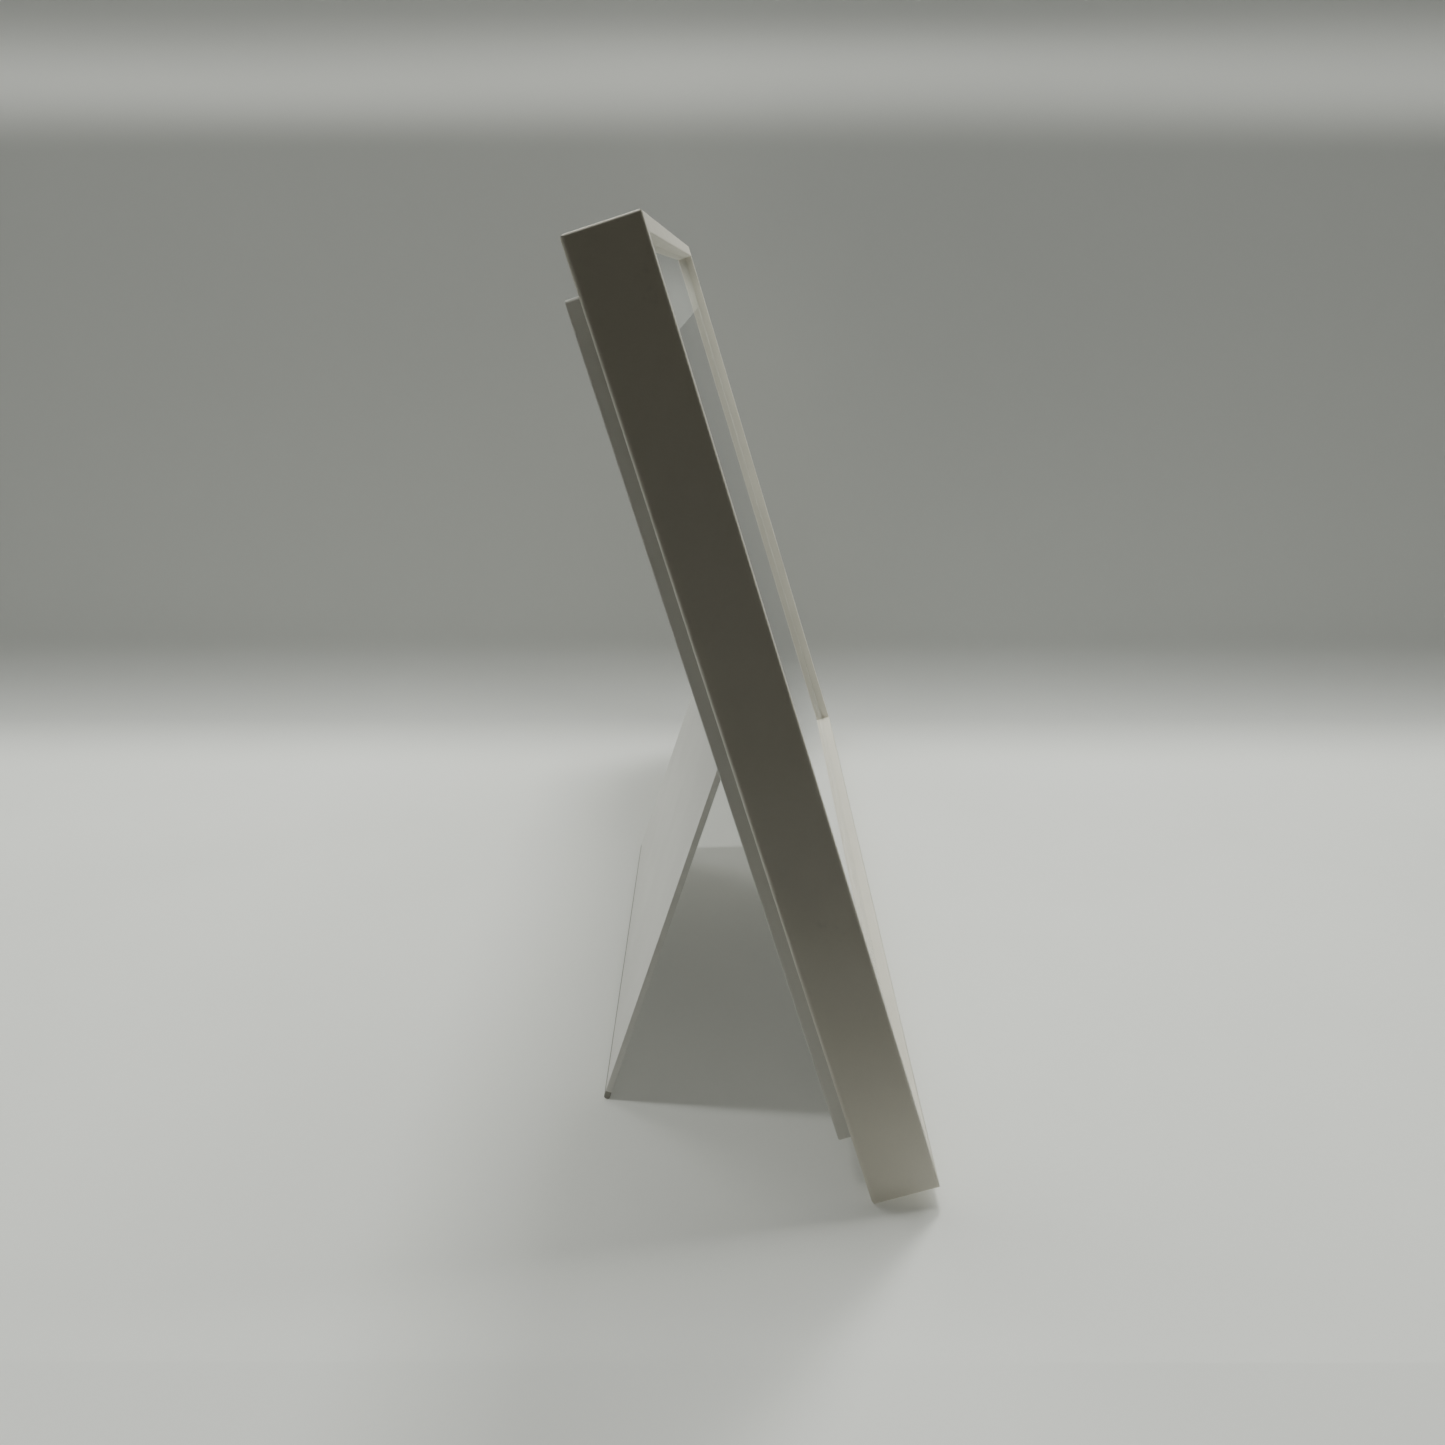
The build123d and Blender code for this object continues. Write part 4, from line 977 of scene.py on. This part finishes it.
@dataclass(frozen=True)
class Lamp:
    """A soft rectangular lamp that isn't seen itself, in metres.

    Attributes:
        name: Name of the lamp.
        place: Where it hangs.
        target: Where it points.
        size: Width and length.
        power: Watts.
        tint: Colour of its light.
        paper_only: True if it lights the paper alone, with nothing else in its way.
    """

    name: str
    place: tuple[float, float, float]
    target: tuple[float, float, float]
    size: tuple[float, float]
    power: float
    tint: Colour = (0.975, 1.0, 0.945)
    paper_only: bool = False

    def hang(self, sheet: bpy.types.Object) -> None:
        """Hangs the lamp.

        Args:
            sheet: The paper, for a lamp that lights nothing else.
        """
        data = bpy.data.lights.new(self.name, "AREA")
        data.shape = "RECTANGLE"
        data.size, data.size_y = self.size
        data.energy = self.power
        data.color = self.tint
        made = bpy.data.objects.new(self.name, data)
        bpy.context.scene.collection.objects.link(made)
        made.location = self.place
        aim = Vector(self.target) - Vector(self.place)
        made.rotation_euler = aim.to_track_quat("-Z", "Y").to_euler()
        made.visible_camera = False
        if self.paper_only:
            lit = bpy.data.collections.new(f"{self.name}_lit")
            lit.objects.link(sheet)
            made.light_linking.receiver_collection = lit
            made.light_linking.blocker_collection = lit
        LOG.info("hung %s", self.name)


def studio_lamps() -> tuple[Lamp, ...]:
    """A long lamp overhead, three behind the paper, and two weak ones on the camera's side.

    Returns:
        The lamps.
    """
    return (
        Lamp("overhead", (-0.03, 0.12, 1.2), (-0.03, 0.12, 0.0), (0.05, 1.4), 8.4),
        Lamp("back_middle", (0.42, -0.08, 1.15), (-0.05, 0.0, 0.0), (0.2, 0.2), 6.2),
        Lamp("back_right", (0.8, -0.6, 0.85), (0.0, 0.0, 0.05), (0.5, 0.5), 3.7),
        Lamp("back_left", (0.7, 0.75, 0.8), (0.0, 0.0, 0.05), (0.5, 0.5), 3.1),
        Lamp("near_fill", (-0.7, 0.0, 0.4), (-0.2, 0.0, 0.15), (0.5, 0.5), 0.07, (1.0, 0.88, 0.54)),
        Lamp("near_floor", (-1.1, 0.0, 0.75), (0.0, 0.0, 0.0), (0.8, 1.6), 5.2, paper_only=True),
    )


@dataclass
class Room:
    """A pale floor that sweeps up behind the object, and its lamps, in metres.

    Attributes:
        shop: Where the finishes come from.
        near_x: Where the floor starts.
        cove_x: Where the sweep starts.
        cove_r: Radius of the sweep.
        wall_top: Height of the sweep's top.
        half_width: Half the width of the paper.
        flag_x: Where the black card stands.
        flag_half: Half its size.
        room_tint: Colour of the room.
        dim: Light that the room gives.
        glow: How much brighter the room looks than the light it gives.
        lamps: The lamps.
    """

    shop: Workshop
    near_x: float = -2.6
    cove_x: float = 0.212
    cove_r: float = 0.04
    wall_top: float = 0.9
    half_width: float = 2.2
    flag_x: float = -0.256
    flag_half: float = 0.6
    room_tint: Colour = (0.9, 0.92, 0.9)
    dim: float = 0.03
    glow: float = 0.42
    lamps: tuple[Lamp, ...] = field(default_factory=studio_lamps)

    def sweep(self) -> bpy.types.Object:
        """The floor and the wall in one sheet.

        Returns:
            The sheet, which is attached to no body.
        """
        mesh = bmesh.new()
        start = mesh.verts.new((self.near_x, -self.half_width, 0))
        foot = mesh.verts.new((self.cove_x, -self.half_width, 0))
        mesh.edges.new((start, foot))
        centre = (self.cove_x, -self.half_width, self.cove_r)
        curve = bmesh.ops.spin(mesh, geom=[foot], cent=centre, axis=(0, -1, 0), angle=math.pi / 2, steps=16)
        last = [v for v in curve["geom_last"] if isinstance(v, bmesh.types.BMVert)][0]
        top = mesh.verts.new((self.cove_x + self.cove_r, -self.half_width, self.wall_top))
        mesh.edges.new((last, top))
        made = bmesh.ops.extrude_edge_only(mesh, edges=mesh.edges[:])
        moved = [v for v in made["geom"] if isinstance(v, bmesh.types.BMVert)]
        bmesh.ops.translate(mesh, verts=moved, vec=(0, 2 * self.half_width, 0))
        bmesh.ops.remove_doubles(mesh, verts=mesh.verts, dist=1e-5)
        bmesh.ops.recalc_face_normals(mesh, faces=mesh.faces)
        mesh.faces.ensure_lookup_table()
        floor = max(mesh.faces, key=lambda face: face.calc_area())
        if floor.normal.z < 0:
            bmesh.ops.reverse_faces(mesh, faces=mesh.faces)
        data = bpy.data.meshes.new("sweep")
        mesh.to_mesh(data)
        mesh.free()
        for face in data.polygons:
            face.use_smooth = True
        data.materials.append(self.shop.material("backdrop"))
        sheet = bpy.data.objects.new("sweep", data)
        bpy.context.scene.collection.objects.link(sheet)
        sheet.visible_shadow = False
        LOG.info("built the sweep")
        return sheet

    def flag(self) -> None:
        """A black card on the camera's side that soaks up stray light and isn't seen itself."""
        mesh = bmesh.new()
        turn = Matrix.Rotation(math.pi / 2, 4, "Y")
        place = Matrix.Translation((self.flag_x, 0, self.flag_half)) @ turn
        bmesh.ops.create_grid(mesh, x_segments=4, y_segments=4, size=self.flag_half, matrix=place)
        data = bpy.data.meshes.new("flag")
        mesh.to_mesh(data)
        mesh.free()
        data.materials.append(self.shop.material("flag_cloth"))
        card = bpy.data.objects.new("flag", data)
        bpy.context.scene.collection.objects.link(card)
        card.visible_camera = card.visible_glossy = card.visible_shadow = card.visible_transmission = False

    def build(self) -> None:
        """Builds the sweep and hangs the lamps."""
        sheet = self.sweep()
        self.flag()
        for lamp in self.lamps:
            lamp.hang(sheet)
        bpy.context.scene.world = self.surround()

    def surround(self) -> bpy.types.World:
        """The dim room round the paper, which looks pale itself.

        Returns:
            The world.
        """
        graph = Graph(bpy.data.worlds.new("studio"))
        seen = graph.node("ShaderNodeLightPath", out="Is Camera Ray")
        inputs = {"Color": (*self.room_tint, 1.0), "Strength": seen * self.glow + self.dim}
        return graph.close(graph.node("ShaderNodeBackground", None, inputs))


@dataclass
class Viewpoint:
    """The camera, in metres and degrees.

    Attributes:
        place: Where the lens is.
        yaw: Turn from +X towards +Y.
        pitch: How far it looks down.
        lens: Focal length on a 36 mm sensor, in millimetres.
    """

    place: tuple[float, float, float] = (-0.51384, 0.01021, 0.23164)
    yaw: float = 0.095
    pitch: float = 17.563
    lens: float = 35.19

    def build(self) -> None:
        """Sets up the camera."""
        data = bpy.data.cameras.new("viewpoint")
        data.lens = self.lens
        data.sensor_width = 36.0
        data.clip_start = 0.01
        data.clip_end = 30.0
        made = bpy.data.objects.new("viewpoint", data)
        bpy.context.scene.collection.objects.link(made)
        yaw, pitch = math.radians(self.yaw), math.radians(self.pitch)
        ahead = Vector((math.cos(yaw) * math.cos(pitch), math.sin(yaw) * math.cos(pitch), -math.sin(pitch)))
        made.location = self.place
        made.rotation_euler = ahead.to_track_quat("-Z", "Y").to_euler()
        bpy.context.scene.camera = made


def main() -> None:
    """Builds the room, the camera and every sub-assembly in order."""
    logging.basicConfig(level=logging.INFO, format="%(message)s")
    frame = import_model()
    shop = Workshop(frame, Panel.of(frame["record"], HINGE_PLACE))
    Viewpoint().build()
    for assembly in (Room, FrameRails, Screen, Electronics, Speakers, RearCover, Keys, Stand):
        LOG.info("-- %s", assembly.__name__)
        assembly(shop).build()


if __name__ == "__main__":
    main()
